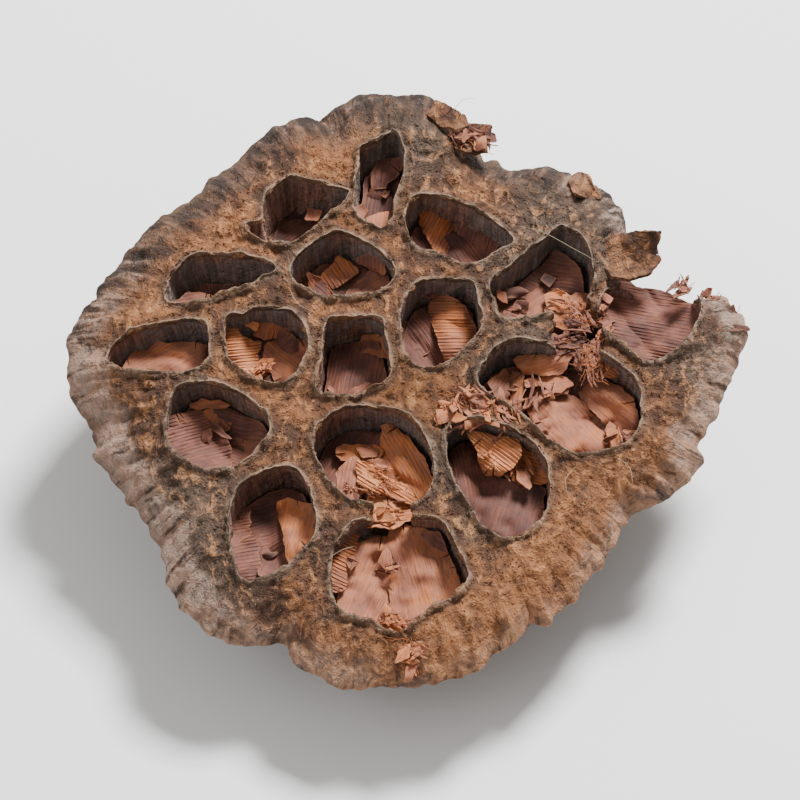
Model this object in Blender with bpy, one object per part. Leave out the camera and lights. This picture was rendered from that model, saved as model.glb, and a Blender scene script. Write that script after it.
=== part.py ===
"""A dried lotus pod: a shallow woody funnel whose face holds seventeen empty seed pits.

Run it with: blender --background --python part.py
Every size below is in millimetres and every angle in degrees; meshes are turned into metres
as they are made. The face has its own plane: "across" runs along +X, "up" runs up the slope
of the face, and "out" leaves it squarely. The pod stands on the flat scar where its stem
broke off, with its face tipped towards -Y, and the scar's centre is the origin.
"""

import math

import bmesh
import bpy
from mathutils import Matrix, Vector, noise

METRES = 0.001

# The whole pod
FACE_TILT = 11.0
POD_DEPTH = 30.0
FACE_CENTRE = Vector((2.6, -8.4, 29.6))
SCAR_RADIUS = 7.6
SPOKES = 120

# The rim's outline on the face, as (angle, radius) round the pod, lobes and notches alike
RIM = [
    (-180, 56.5), (-176, 53.5), (-170, 54), (-166, 52.5), (-160, 51.5), (-152, 50), (-145, 50.5),
    (-138, 54.5), (-132, 55.5), (-127, 56.5), (-121, 55.5), (-114, 52), (-109, 55), (-101, 57.5),
    (-96, 56.5), (-89, 56.5), (-84, 56), (-76, 55), (-72, 52), (-66, 51), (-63, 48.5), (-60, 50.5),
    (-57, 50), (-51, 48.5), (-42, 46.5), (-32, 45.5), (-29, 45), (-23, 49), (-17, 52), (-12, 52.5),
    (-8, 51.5), (-3, 54), (1, 55), (8, 59), (13, 61), (20, 59), (22, 55), (25, 51), (31, 46.5),
    (34, 51.5), (38, 51.5), (42, 52), (46, 54), (52, 54), (57, 53.5), (62, 53), (69, 51), (75, 52),
    (79, 54.5), (83, 58.5), (87, 60.5), (92, 61), (97, 61), (101, 60), (104, 58), (107, 59.5),
    (112, 59), (118, 57.5), (123, 56.5), (127, 55.5), (133, 55), (137, 56), (141, 56.5), (149, 56.5),
    (155, 57), (160, 57.5), (165, 59.5), (172, 59), (175, 58.5),
]
MEAN_RADIUS = 54.0

# From the middle of the face, over the rim and down to the scar: (share of the rim's radius,
# how far below the plane of the face)
PROFILE = [
    (0.20, -1.3), (0.42, -1.1), (0.60, -0.8), (0.72, -0.8), (0.80, -0.9), (0.86, -0.4), (0.91, 0.6),
    (0.95, 1.9), (0.98, 3.3), (1.0, 4.9), (0.985, 6.3), (0.94, 8.4), (0.88, 10.9), (0.80, 13.8),
    (0.70, 17.0), (0.58, 20.2), (0.45, 23.1), (0.32, 25.7), (0.205, 27.8), (0.155, 29.2),
]
RIM_ROW = 9
FACE_TOP = -1.4
RUFFLE = 2.0
FURROW = 0.55
WRINKLE = 0.7
RAGGED = 0.9
RIBS = 24
RIB_HEIGHT = 0.5

# The pits. Each outline is drawn on the face as (across, up) points, anticlockwise or not, and
# a smooth closed line runs through them. "skin" says how the papery lining lies in the pit:
# its depth at the middle, the direction it climbs in, its climb, the direction across its
# folds, and how high its torn edge stands up the wall.
PITS = {
    "pit_01": {
        "outline": [(-21, 42), (-15.5, 41.5), (-10, 39.4), (-13, 35.6), (-17.5, 31.5), (-20.5, 29.6),
                    (-24.5, 29.9), (-27.5, 32), (-24.8, 34), (-24.2, 38)],
        "skin": (9.0, 200, 1.3, 60, 2.0),
    },
    "pit_02": {
        "outline": [(-7.4, 48.2), (-4.3, 50), (-1.6, 51), (-0.8, 47.5), (-0.4, 43.5), (-2, 38), (-2.7, 34),
                    (-4.5, 32.5), (-7.5, 34.4), (-8.6, 38), (-7.9, 43.9)],
        "skin": (8.0, 250, 2.0, 150, 2.5),
    },
    "pit_03": {
        "outline": [(2.6, 38.8), (6, 38.4), (9.8, 37.2), (14.1, 34.8), (18.4, 30), (15.9, 27.6), (10.3, 25.4),
                    (6, 26.8), (2.6, 28.3), (0.8, 31.2), (0.6, 35.8)],
        "skin": (8.0, 300, 1.8, 20, 3.0),
    },
    "pit_04": {
        "outline": [(27.2, 32), (30.5, 29.7), (32.3, 25.8), (32.2, 20.3), (28.9, 16.6), (23.3, 14.9), (17.2, 14.3),
                    (15.9, 17.5), (15, 21.3), (17.4, 23.4), (20.7, 26.4), (24.1, 29.5)],
        "skin": (8.5, 220, 1.8, 70, 2.5),
    },
    "pit_05": {
        "outline": [(35.4, 20.6), (40.5, 21.3), (46.5, 19.8), (50.6, 17.6), (50.4, 13.4), (48.8, 9.6), (45.7, 6.9),
                    (42.4, 5.8), (38.2, 8.9), (35, 12), (34.2, 16.5)],
        "skin": (6.6, 50, 2.2, 140, 3.0),
    },
    "pit_06": {
        "outline": [(13.3, 3.8), (15.5, 7.6), (19, 9.2), (25.9, 8.6), (32.8, 7.4), (37.4, 4.4), (39.9, 1),
                    (40.5, -3.3), (40.3, -7.3), (38, -10.2), (33.6, -11.9), (29.8, -12.4), (26, -10.7),
                    (22.4, -6.6), (18.4, -2.9), (13.2, 0.4)],
        "skin": (7.6, 330, 2.5, 55, 3.0),
    },
    "pit_07": {
        "outline": [(-40.9, 17.9), (-40.6, 21.7), (-39.1, 25), (-36.7, 26.5), (-31, 26.7), (-25.9, 26.1), (-22.6, 24.2),
                    (-24.7, 22.6), (-27, 20.8), (-30.6, 19.2), (-35, 17.9)],
        "skin": (7.6, 230, 1.4, 80, 1.6),
    },
    "pit_08": {
        "outline": [(-19.5, 23.4), (-18.1, 27), (-15.5, 29.5), (-11.9, 31.2), (-8.3, 30), (-4.9, 27.7), (-2.8, 24.9),
                    (-2.4, 22.4), (-4.2, 20.1), (-7.2, 18.8), (-10.9, 18.2), (-15, 18.8), (-18, 20.5)],
        "skin": (8.5, 190, 2.0, 40, 3.0),
    },
    "pit_09": {
        "outline": [(-51.4, 5.8), (-50, 8.6), (-47, 10.8), (-43, 12.4), (-38.4, 13.6), (-35.2, 13.4), (-34.3, 11),
                    (-33.8, 8), (-34.5, 5.4), (-37.6, 4), (-41.7, 3.3), (-46, 3.4), (-49.3, 4.3)],
        "skin": (7.4, 270, 1.0, 100, 1.4),
    },
    "pit_10": {
        "outline": [(-30.7, 13.8), (-28.1, 15.2), (-24.7, 16), (-21.2, 15.7), (-18.6, 13.9), (-17.2, 11.2), (-17.4, 6.9),
                    (-18.9, 3.5), (-21.6, 1.4), (-25, 2), (-28.2, 4), (-30.4, 6.9), (-31, 10.4)],
        "skin": (7.2, 300, 1.5, 170, 3.0),
    },
    "pit_11": {
        "outline": [(-13.3, 12.4), (-10.7, 13.8), (-5, 13.8), (-3.6, 9.8), (-2.7, 4.9), (-2.9, 2.3), (-5.2, 0.3),
                    (-9.5, -1), (-14, -1), (-14.9, 1.2), (-14.2, 6.5)],
        "skin": (8.0, 120, 2.0, 35, 2.5),
    },
    "pit_12": {
        "outline": [(-0.3, 15.9), (1.1, 19.4), (3.6, 21.3), (7.8, 21.5), (11.3, 20.9), (12.5, 17.3), (13.1, 12.8),
                    (11.4, 9.8), (9.1, 7), (6.5, 4.9), (3.3, 4.3), (0.4, 6), (-0.5, 10.4)],
        "skin": (7.8, 340, 2.2, 175, 3.0),
    },
    "pit_13": {
        "outline": [(-41, -6.3), (-40, -2.1), (-37.8, 0.4), (-34.3, 1.3), (-29.8, -0.2), (-26.4, -2.5), (-23.8, -5.5),
                    (-23.7, -8.5), (-25.6, -11.8), (-28.6, -14.3), (-31.6, -15.4), (-35.3, -14.8), (-38.8, -12.6),
                    (-40.7, -9.6)],
        "skin": (7.6, 240, 2.0, 120, 3.0),
    },
    "pit_14": {
        "outline": [(-29.7, -23.4), (-28.1, -19.7), (-25, -16.6), (-21, -15.3), (-18, -16.5), (-16.4, -20.5),
                    (-15.5, -25), (-15.7, -28.9), (-18.3, -32), (-20.9, -35), (-24.7, -37), (-27.7, -36), (-29.6, -29.9)],
        "skin": (7.8, 250, 2.0, 10, 3.0),
    },
    "pit_15": {
        "outline": [(-15.6, -10.6), (-14.1, -6.6), (-11.2, -4.4), (-6, -3.8), (-1.5, -4.8), (2.2, -7.7), (4.4, -12.2),
                    (4.8, -17.1), (3.6, -20.9), (0, -22.3), (-5.2, -22.1), (-9.6, -21.2), (-12.7, -18), (-14.7, -14.2)],
        "skin": (7.6, 330, 2.4, 60, 3.5),
    },
    "pit_16": {
        "outline": [(7.4, -8.9), (9.3, -6.8), (12.9, -6.5), (17.6, -7.8), (21.9, -10.8), (24.2, -14.8), (24.4, -21.1),
                    (22.9, -25.7), (19.8, -28.2), (15.9, -28.6), (13.3, -26.5), (11.2, -22.8), (8.9, -18.7),
                    (7.6, -14.2)],
        "skin": (7.8, 290, 2.2, 100, 3.5),
    },
    "pit_17": {
        "outline": [(-12.6, -36.8), (-11.9, -31.5), (-9.2, -27.2), (-5.7, -25.6), (0.9, -25.2), (5.8, -25.7),
                    (7.8, -28.9), (9.4, -33.3), (10.6, -37.2), (8.3, -40.2), (4.3, -42.6), (1.2, -45.2), (-1.7, -46.6),
                    (-6, -44.9), (-10, -43.3), (-12.1, -40.4)],
        "skin": (7.2, 280, 1.6, 20, 3.0),
    },
}
PIT_SIDES = 16
LIP_HEIGHT = 0.7
LIP_WIDTH = 0.8
LIP_FOOT = 2.6
LIP_SUNK = 2.5
PIT_DEPTH = 15.0
WALL = 2.6
PIT_LEAN = 0.20
ABOVE_FACE = 6.0
# How a pit narrows on its way down: (share of its depth, share of its outline)
PIT_PROFILE = [(0.0, 1.0), (0.3, 1.02), (0.62, 0.95), (0.86, 0.76), (1.0, 0.45)]

# Where a wall between pits, or the rim, has broken away: across, up, half length, half width,
# turn, and how deep the break goes
BREAKS = {
    "broken_wall_low": (-2.4, -23.8, 3.6, 3.4, 0, 7.0),
    "broken_wall_right": (30.0, 11.8, 4.6, 7.0, 8, 8.0),
    "broken_rim": (45.4, 23.6, 8.4, 4.6, -20, 15.0),
}
BREAK_SIDES = 10

# The papery skins
SKIN_SIDES = 16
SKIN_RINGS = [0.42, 0.78, 1.0]
SKIN_THICKNESS = 1.3
SKIN_GAP = 0.5
FOLD_HEIGHT = 1.3
FOLD_WIDTH = 7.0

# Torn pieces of rim: across and up at the root, the direction they point in, length, width,
# how steeply they rise, and how far above the plane of the face they start
SHARDS = {
    "torn_rim_top": (4.6, 53.8, 20, 8.2, 6.0, 12, -0.6),
    "torn_rim_spike": (9.0, 46.6, 48, 9.8, 7.0, 8, -1.9),
    "torn_rim_tip": (29.4, 40.4, 62, 4.8, 4.6, 8, -0.8),
    "torn_rim_side": (36.4, 26.6, 22, 9.0, 8.5, 10, -0.4),
}
SHARD_THICKNESS = 1.2

POD_COLOUR = (0.22, 0.13, 0.075, 1.0)
SKIN_COLOUR = (0.24, 0.095, 0.06, 1.0)


def smooth_step(low, high, value):
    """0 below low, 1 above high, and an even ease between them."""
    share = min(max((value - low) / (high - low), 0.0), 1.0)
    return share * share * (3 - 2 * share)


def between(stops, value):
    """The second number of the (first, second) stops at this first number, in straight steps."""
    for (low, start), (high, end) in zip(stops, stops[1:]):
        if value <= high:
            return start + (end - start) * max(value - low, 0.0) / (high - low)
    return stops[-1][1]


def rim_radius(angle):
    """The rim's radius at an angle in degrees."""
    turned = (angle + 180) % 360 - 180
    first, last = RIM[0], RIM[-1]
    closed = [(last[0] - 360, last[1]), *RIM, (first[0] + 360, first[1])]
    return between(closed, turned)


def even_radius(angle):
    """The rim's radius with its lobes and notches smoothed away."""
    spread = [-18, -12, -6, 0, 6, 12, 18]
    return sum(rim_radius(angle + step) for step in spread) / len(spread)


def on_face(across, up, out=0.0):
    """A point given in the plane of the face, in the pod's frame."""
    tilt = math.radians(FACE_TILT)
    slope = Vector((0, math.cos(tilt), math.sin(tilt)))
    normal = Vector((0, -math.sin(tilt), math.cos(tilt)))
    return FACE_CENTRE + Vector((across, 0, 0)) + slope * up + normal * out


def body_point(angle, share, drop):
    """A point of the pod's surface. The rings below the face turn level as they near the scar."""
    turn = math.radians(angle)
    lobed = smooth_step(0.12, 0.6, share)
    round_radius = SCAR_RADIUS / PROFILE[-1][0]
    full = rim_radius(angle) * lobed + round_radius * (1 - lobed)
    at = Vector((math.cos(turn), math.sin(turn)))
    to_rim = smooth_step(0.68, 1.0, share)
    ruffle = RUFFLE * noise.noise(Vector((at.x * 2.6, at.y * 2.6, 4.0)))
    furrow = FURROW * (even_radius(angle) - rim_radius(angle))
    wrinkle = WRINKLE * noise.noise(Vector((at.x * 9.0, at.y * 9.0, share * 5.0)))
    drop += (ruffle + furrow + wrinkle) * to_rim
    below = smooth_step(5.0, 12.0, drop) * smooth_step(0.15, 0.4, share)
    sway = 2 * noise.noise(Vector((at.x, at.y, drop / 20)))
    ragged = RAGGED * noise.noise(Vector((at.x * 21.0, at.y * 21.0, 0))) * smooth_step(0.93, 1.0, share)
    radius = full * share + ragged + below * RIB_HEIGHT * math.cos(RIBS * turn + sway)
    sink = min(max(drop / POD_DEPTH, 0.0), 1.0)
    tilt = math.radians(FACE_TILT) * (1 - sink)
    level = Vector((radius * at.x, radius * at.y * math.cos(tilt), radius * at.y * math.sin(tilt)))
    out = Vector((0, -math.sin(tilt), math.cos(tilt))) * max(-drop, 0.0)
    return FACE_CENTRE * (1 - sink) + level + out


def new_object(name, mesh, collection, material=None):
    """An object for this mesh, in this collection, shaded smooth up to sharp folds."""
    made = bpy.data.objects.new(name, mesh)
    collection.objects.link(made)
    if material:
        mesh.materials.append(material)
    mesh.shade_smooth()
    mesh.set_sharp_from_angle(angle=math.radians(35))
    return made


def mesh_from(name, mesh_data):
    """A mesh in metres from a bmesh in millimetres, with its faces pointing out."""
    bmesh.ops.recalc_face_normals(mesh_data, faces=mesh_data.faces)
    mesh = bpy.data.meshes.new(name)
    mesh_data.to_mesh(mesh)
    mesh_data.free()
    mesh.transform(Matrix.Scale(METRES, 4))
    return mesh


def lofted(name, rings, first_end, last_end):
    """A closed mesh through these rings, which a fan of triangles closes at each end."""
    built = bmesh.new()
    rows = [[built.verts.new(point) for point in ring] for ring in rings]
    sides = len(rings[0])
    for row, following in zip(rows, rows[1:]):
        for i in range(sides):
            j = (i + 1) % sides
            built.faces.new((row[i], row[j], following[j], following[i]))
    for row, end in ((rows[0], first_end), (rows[-1], last_end)):
        tip = built.verts.new(end)
        for i in range(sides):
            built.faces.new((row[i], row[(i + 1) % sides], tip))
    return mesh_from(name, built)


def smooth_outline(points, sides):
    """This many evenly spaced points on a smooth closed line through the given points."""
    count = len(points)
    corners = [Vector(point) for point in points]
    steps = 12
    line = []
    for i in range(count):
        before, here, after, beyond = (corners[(i + k) % count] for k in (-1, 0, 1, 2))
        for step in range(steps):
            t = step / steps
            line.append(
                0.5 * ((2 * here) + (after - before) * t + (2 * before - 5 * here + 4 * after - beyond) * t * t
                       + (3 * here - before - 3 * after + beyond) * t * t * t)
            )
    lengths = [0.0]
    for here, after in zip(line, line[1:] + line[:1]):
        lengths.append(lengths[-1] + (after - here).length)
    spaced = []
    for k in range(sides):
        wanted = lengths[-1] * k / sides
        i = max(n for n in range(len(line)) if lengths[n] <= wanted)
        t = (wanted - lengths[i]) / max(lengths[i + 1] - lengths[i], 1e-9)
        spaced.append(line[i].lerp(line[(i + 1) % len(line)], t))
    return spaced


class Pit:
    """A seed pit: its outline on the face, and how it narrows and leans on its way down."""

    def __init__(self, points):
        self.outline = smooth_outline(points, PIT_SIDES)
        self.centre = sum(self.outline, Vector((0, 0))) / PIT_SIDES
        self.angle = math.degrees(math.atan2(self.centre.y, self.centre.x))
        share = self.centre.length / rim_radius(self.angle)
        underside = [(-share_of_rim, drop) for share_of_rim, drop in PROFILE[RIM_ROW + 1:]]
        self.depth = min(PIT_DEPTH, between(underside, -min(share + 0.10, 0.98)) - WALL)
        self.half_width = min((point - self.centre).length for point in self.outline)

    def ring(self, drop, inset=0.0):
        """The pit's wall this far below the face, drawn in by the inset."""
        share = between(PIT_PROFILE, drop / self.depth) * (1 - inset / 2 / self.half_width)
        middle = self.middle(drop)
        return [middle + (point - self.centre) * share for point in self.outset(-inset / 2)]

    def middle(self, drop):
        """The pit's centre line, which leans towards the stem as it goes down."""
        lean = PIT_LEAN * max(drop, 0.0) * min(self.centre.length / MEAN_RADIUS, 1.0)
        return self.centre - self.centre.normalized() * lean

    def outset(self, distance):
        """The outline moved outwards by this much."""
        moved = []
        for i, point in enumerate(self.outline):
            along = self.outline[(i + 1) % PIT_SIDES] - self.outline[i - 1]
            aside = Vector((along.y, -along.x)).normalized()
            if aside.dot(point - self.centre) < 0:
                aside.negate()
            moved.append(point + aside * distance)
        return moved

    def lip(self, name):
        """A low mound with sloping sides, which leaves a raised lip once the pit is cut through it."""
        foot = [on_face(*point, -LIP_SUNK) for point in self.outset(LIP_FOOT)]
        crest = []
        for point in self.outset(LIP_WIDTH):
            height = LIP_HEIGHT * (1 + 0.5 * noise.noise(Vector((point.x, point.y, 0)) * 0.2))
            crest.append(on_face(*point, height - FACE_TOP * self.swell(point)))
        top = on_face(*self.centre, LIP_HEIGHT - FACE_TOP * self.swell(self.centre))
        return lofted(name, [foot, crest], on_face(*self.centre, -LIP_SUNK), top)

    def swell(self, point):
        """How much of the face's swelling is left at this point of it."""
        share = point.length / rim_radius(math.degrees(math.atan2(point.y, point.x)))
        return between([(at, drop / FACE_TOP) for at, drop in PROFILE[:RIM_ROW]], share)

    def cutter(self, name):
        drops = [-ABOVE_FACE] + [share * self.depth for share, _ in PIT_PROFILE]
        rings = [[on_face(*point, -drop) for point in self.ring(max(drop, 0.0))] for drop in drops]
        return lofted(name, rings, on_face(*self.centre, ABOVE_FACE), on_face(*self.middle(self.depth), -self.depth))


def make_body(collection, material):
    """The pod before its pits are cut: a ball whose rings are laid along the profile."""
    ring_count = len(PROFILE) + 2
    bpy.ops.mesh.primitive_uv_sphere_add(segments=SPOKES, ring_count=ring_count, radius=1.0)
    ball = bpy.context.object
    mesh = ball.data
    for vertex in mesh.vertices:
        row = round(math.acos(max(-1.0, min(1.0, vertex.co.z))) / math.pi * ring_count)
        angle = math.degrees(math.atan2(vertex.co.y, vertex.co.x))
        turn = math.radians(angle)
        if row == 0:
            vertex.co = on_face(0, 0, -FACE_TOP)
        elif row <= len(PROFILE):
            vertex.co = body_point(angle, *PROFILE[row - 1])
        elif row == len(PROFILE) + 1:
            vertex.co = Vector((SCAR_RADIUS * math.cos(turn), SCAR_RADIUS * math.sin(turn), 0.0))
        else:
            vertex.co = Vector((0, 0, 0))
    mesh.transform(Matrix.Scale(METRES, 4))
    mesh.update()
    body = bpy.data.objects.new("pod", mesh)
    bpy.data.objects.remove(ball)
    collection.objects.link(body)
    mesh.materials.append(material)
    mesh.shade_smooth()
    mesh.set_sharp_from_angle(angle=math.radians(35))
    return body


def break_mesh(name, across, up, half_length, half_width, turn, depth):
    """A cutter for a place where the wall has broken: an oval plug with uneven sides."""
    rings = []
    for drop, share in ((-ABOVE_FACE, 1.0), (depth * 0.6, 0.95), (depth, 0.7)):
        ring = []
        for k in range(BREAK_SIDES):
            angle = 2 * math.pi * k / BREAK_SIDES
            uneven = 1 + 0.16 * math.sin(5 * angle + across)
            at = Vector((half_length * math.cos(angle), half_width * math.sin(angle))) * share * uneven
            at.rotate(Matrix.Rotation(math.radians(turn), 2))
            ring.append(on_face(across + at.x, up + at.y, -drop))
        rings.append(ring)
    return lofted(name, rings, on_face(across, up, ABOVE_FACE), on_face(across, up, -depth))


def shard_mesh(name, across, up, direction, length, width, rise, start):
    """A torn scrap of rim: a plate with a ragged pointed end, its root sunk in the pod."""
    shape = [(0, -0.5), (0.45, -0.42), (0.8, -0.28), (1.0, 0.05), (0.72, 0.2), (0.5, 0.48), (0, 0.42)]
    built = bmesh.new()
    place = Matrix.Rotation(math.radians(direction), 4, "Z") @ Matrix.Rotation(math.radians(-rise), 4, "Y")
    sides = []
    for level in (0.0, -SHARD_THICKNESS):
        row = []
        for along, aside in shape:
            bent = level + 0.9 * math.sin(2.5 * along + aside * 3)
            at = place @ Vector((along * length, aside * width, bent))
            row.append(built.verts.new(on_face(across + at.x, up + at.y, start + at.z)))
        middle = place @ Vector((0.5 * length, 0, level + 0.9 * math.sin(1.25)))
        hub = built.verts.new(on_face(across + middle.x, up + middle.y, start + middle.z))
        for i in range(len(shape)):
            built.faces.new((row[i], row[(i + 1) % len(shape)], hub))
        sides.append(row)
    for i in range(len(shape)):
        j = (i + 1) % len(shape)
        built.faces.new((sides[0][i], sides[0][j], sides[1][j], sides[1][i]))
    return mesh_from(name, built)


def skin_mesh(name, pit, depth, climb_direction, climb, fold_direction, edge):
    """The dry skin in a pit: a folded, tilted sheet whose torn edge stands up the wall."""
    climb_way = Vector((math.cos(math.radians(climb_direction)), math.sin(math.radians(climb_direction))))
    fold_way = Vector((math.cos(math.radians(fold_direction)), math.sin(math.radians(fold_direction))))
    lowest = 0.80 * pit.depth - SKIN_THICKNESS
    middle_depth = min(depth, lowest)

    def drop_at(point, share):
        """How far below the face the sheet's upper side lies at this point of the outline."""
        off = point - pit.centre
        fold = abs((off.dot(fold_way) / FOLD_WIDTH + 0.25) % 1.0 - 0.5) * 2 * FOLD_HEIGHT
        torn = edge * smooth_step(0.7, 1.0, share) * (0.6 + 0.8 * noise.noise(Vector((point.x, point.y, 0)) * 0.35))
        rise = climb * off.dot(climb_way) / max(pit.half_width, 4.0) + fold + torn
        return min(max(middle_depth - rise, 0.6), lowest)

    built = bmesh.new()
    sheets = []
    for level in (0.0, SKIN_THICKNESS):
        rows = []
        for share in SKIN_RINGS:
            row = []
            for i, point in enumerate(pit.outline):
                drop = drop_at(pit.centre + (point - pit.centre) * share, share)
                wall = pit.ring(drop, SKIN_GAP)[i], pit.ring(drop + SKIN_THICKNESS, SKIN_GAP)[i]
                middle = pit.middle(drop)
                reach = min((at - middle).length for at in wall)
                at = middle + (wall[0] - middle).normalized() * reach * share
                row.append(built.verts.new(on_face(at.x, at.y, -drop - level)))
            rows.append(row)
        drop = drop_at(pit.centre, 0)
        hub = built.verts.new(on_face(*pit.middle(drop), -drop - level))
        for i in range(SKIN_SIDES):
            j = (i + 1) % SKIN_SIDES
            built.faces.new((rows[0][i], rows[0][j], hub))
            for row, following in zip(rows, rows[1:]):
                built.faces.new((row[i], row[j], following[j]))
                built.faces.new((row[i], following[j], following[i]))
        sheets.append(rows)
    for i in range(SKIN_SIDES):
        j = (i + 1) % SKIN_SIDES
        built.faces.new((sheets[0][-1][i], sheets[0][-1][j], sheets[1][-1][j], sheets[1][-1][i]))
    return mesh_from(name, built)


def plain_material(name, colour, roughness):
    """A dull material of one colour."""
    made = bpy.data.materials.new(name)
    made.use_nodes = True
    shader = made.node_tree.nodes["Principled BSDF"]
    shader.inputs["Base Color"].default_value = colour
    shader.inputs["Roughness"].default_value = roughness
    shader.inputs["Metallic"].default_value = 0.0
    return made


def new_collection(name):
    made = bpy.data.collections.new(name)
    bpy.context.scene.collection.children.link(made)
    return made


def add_boolean(body, tool, operation):
    """Cuts or joins one helper, which is then only a wire guide in the scene."""
    tool.hide_render = True
    tool.display_type = "WIRE"
    modifier = body.modifiers.new(tool.name, "BOOLEAN")
    modifier.operation = operation
    modifier.solver = "EXACT"
    modifier.object = tool


def main():
    for old in list(bpy.data.objects):
        bpy.data.objects.remove(old)
    parts = new_collection("dried_lotus_pod")
    helpers = new_collection("cutters")
    pod_material = plain_material("pod_tissue", POD_COLOUR, 0.85)
    skin_material = plain_material("papery_skin", SKIN_COLOUR, 0.7)

    body = make_body(parts, pod_material)
    pits = {name: Pit(facts["outline"]) for name, facts in PITS.items()}
    for name, pit in pits.items():
        lip_name = name.replace("pit", "lip")
        add_boolean(body, new_object(lip_name, pit.lip(lip_name), helpers), "UNION")
    for name, sizes in BREAKS.items():
        add_boolean(body, new_object(name, break_mesh(name, *sizes), helpers), "DIFFERENCE")
    for name, sizes in SHARDS.items():
        add_boolean(body, new_object(name, shard_mesh(name, *sizes), helpers), "UNION")
    for name, facts in PITS.items():
        pit = pits[name]
        add_boolean(body, new_object(name, pit.cutter(name), helpers), "DIFFERENCE")
        skin_name = name.replace("pit", "skin")
        skin = skin_mesh(skin_name, pit, *facts["skin"])
        new_object(skin_name, skin, parts, skin_material)


main()
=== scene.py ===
"""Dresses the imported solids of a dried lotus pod: corky pod, papery scraps, fibres and crumbs.

Sizes inside the script are millimetres and angles degrees, but for the settings in the sidebar,
which are metres. A point of the face is (across, up, drop): across runs along +X, up runs up the
slope of the face, and drop goes squarely into it.
"""

import math
from itertools import product

import bpy
import numpy as np
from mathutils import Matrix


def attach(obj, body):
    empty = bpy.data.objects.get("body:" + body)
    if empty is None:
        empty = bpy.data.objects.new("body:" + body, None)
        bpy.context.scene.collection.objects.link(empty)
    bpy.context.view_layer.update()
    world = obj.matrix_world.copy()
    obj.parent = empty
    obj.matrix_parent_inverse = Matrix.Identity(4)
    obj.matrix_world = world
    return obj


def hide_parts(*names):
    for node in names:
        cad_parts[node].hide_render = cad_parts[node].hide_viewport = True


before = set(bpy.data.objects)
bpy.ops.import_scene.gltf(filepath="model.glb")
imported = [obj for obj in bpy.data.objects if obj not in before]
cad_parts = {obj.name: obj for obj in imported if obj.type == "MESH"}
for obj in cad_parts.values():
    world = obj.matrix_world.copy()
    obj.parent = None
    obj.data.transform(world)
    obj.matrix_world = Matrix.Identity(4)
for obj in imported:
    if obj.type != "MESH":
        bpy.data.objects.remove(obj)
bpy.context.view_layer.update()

import openvdb
from bpy.props import FloatProperty, FloatVectorProperty, IntProperty, PointerProperty
from mathutils import Vector, noise
from mathutils.bvhtree import BVHTree
from mathutils.geometry import delaunay_2d_cdt

bl_info = {
    "name": "Dried Lotus Pod",
    "version": (1, 0, 0),
    "blender": (4, 5, 0),
    "location": "3D View > Sidebar > Lotus Pod",
    "description": "Builds a dried lotus pod with papery scraps in its seed pits",
    "category": "Add Mesh",
}

METRES = 0.001

# The pod's own shape, as in its solids
FACE_TILT = 11.0
POD_DEPTH = 30.0
FACE_CENTRE = np.array((2.6, -8.4, 29.6))
SCAR_RADIUS = 7.6
RIM = [
    (-180, 56.5), (-176, 53.5), (-170, 54), (-166, 52.5), (-160, 51.5), (-152, 50), (-145, 50.5),
    (-138, 54.5), (-132, 55.5), (-127, 56.5), (-121, 55.5), (-114, 52), (-109, 55), (-101, 57.5),
    (-96, 56.5), (-89, 56.5), (-84, 56), (-76, 55), (-72, 52), (-66, 51), (-63, 48.5), (-60, 50.5),
    (-57, 50), (-51, 48.5), (-42, 46.5), (-32, 45.5), (-29, 45), (-23, 49), (-17, 52), (-12, 52.5),
    (-8, 51.5), (-3, 54), (1, 55), (8, 59), (13, 61), (20, 59), (22, 55), (25, 51), (31, 46.5), (34, 51.5),
    (38, 51.5), (42, 52), (46, 54), (52, 54), (57, 53.5), (62, 53), (69, 51), (75, 52), (79, 54.5),
    (83, 58.5), (87, 60.5), (92, 61), (97, 61), (101, 60), (104, 58), (107, 59.5), (112, 59), (118, 57.5),
    (123, 56.5), (127, 55.5), (133, 55), (137, 56), (141, 56.5), (149, 56.5), (155, 57), (160, 57.5),
    (165, 59.5), (172, 59), (175, 58.5),
]
MEAN_RADIUS = 54.0
FAR_GROWTH, NEAR_TRIM = 1.9, 0.5
# (share of the rim's radius, drop below the plane of the face), from the middle to the scar
PROFILE = [
    (0.2, -1.3), (0.42, -1.1), (0.6, -0.8), (0.72, -0.8), (0.8, -0.9), (0.86, -0.4), (0.91, 0.6),
    (0.95, 1.9), (0.98, 3.3), (1, 4.9), (0.985, 6.3), (0.94, 8.4), (0.88, 10.9), (0.8, 13.8), (0.7, 17),
    (0.58, 20.2), (0.45, 23.1), (0.32, 25.7), (0.205, 27.8), (0.155, 29.2),
]
RIM_ROW = 9
FACE_TOP = -1.4
RUFFLE = 2.0
FURROW = 0.55
WRINKLE = 0.7
RAGGED = 0.9
RIBS = 24
RIB_HEIGHT = 0.5
PIT_DEPTH = 15.0
WALL = 2.6
PIT_LEAN = 0.20
PIT_EDGE = 0.25
PIT_PROFILE = [(0.0, 1.0), (0.3, 1.02), (0.62, 0.95), (0.86, 0.76), (1.0, 0.45)]
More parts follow.
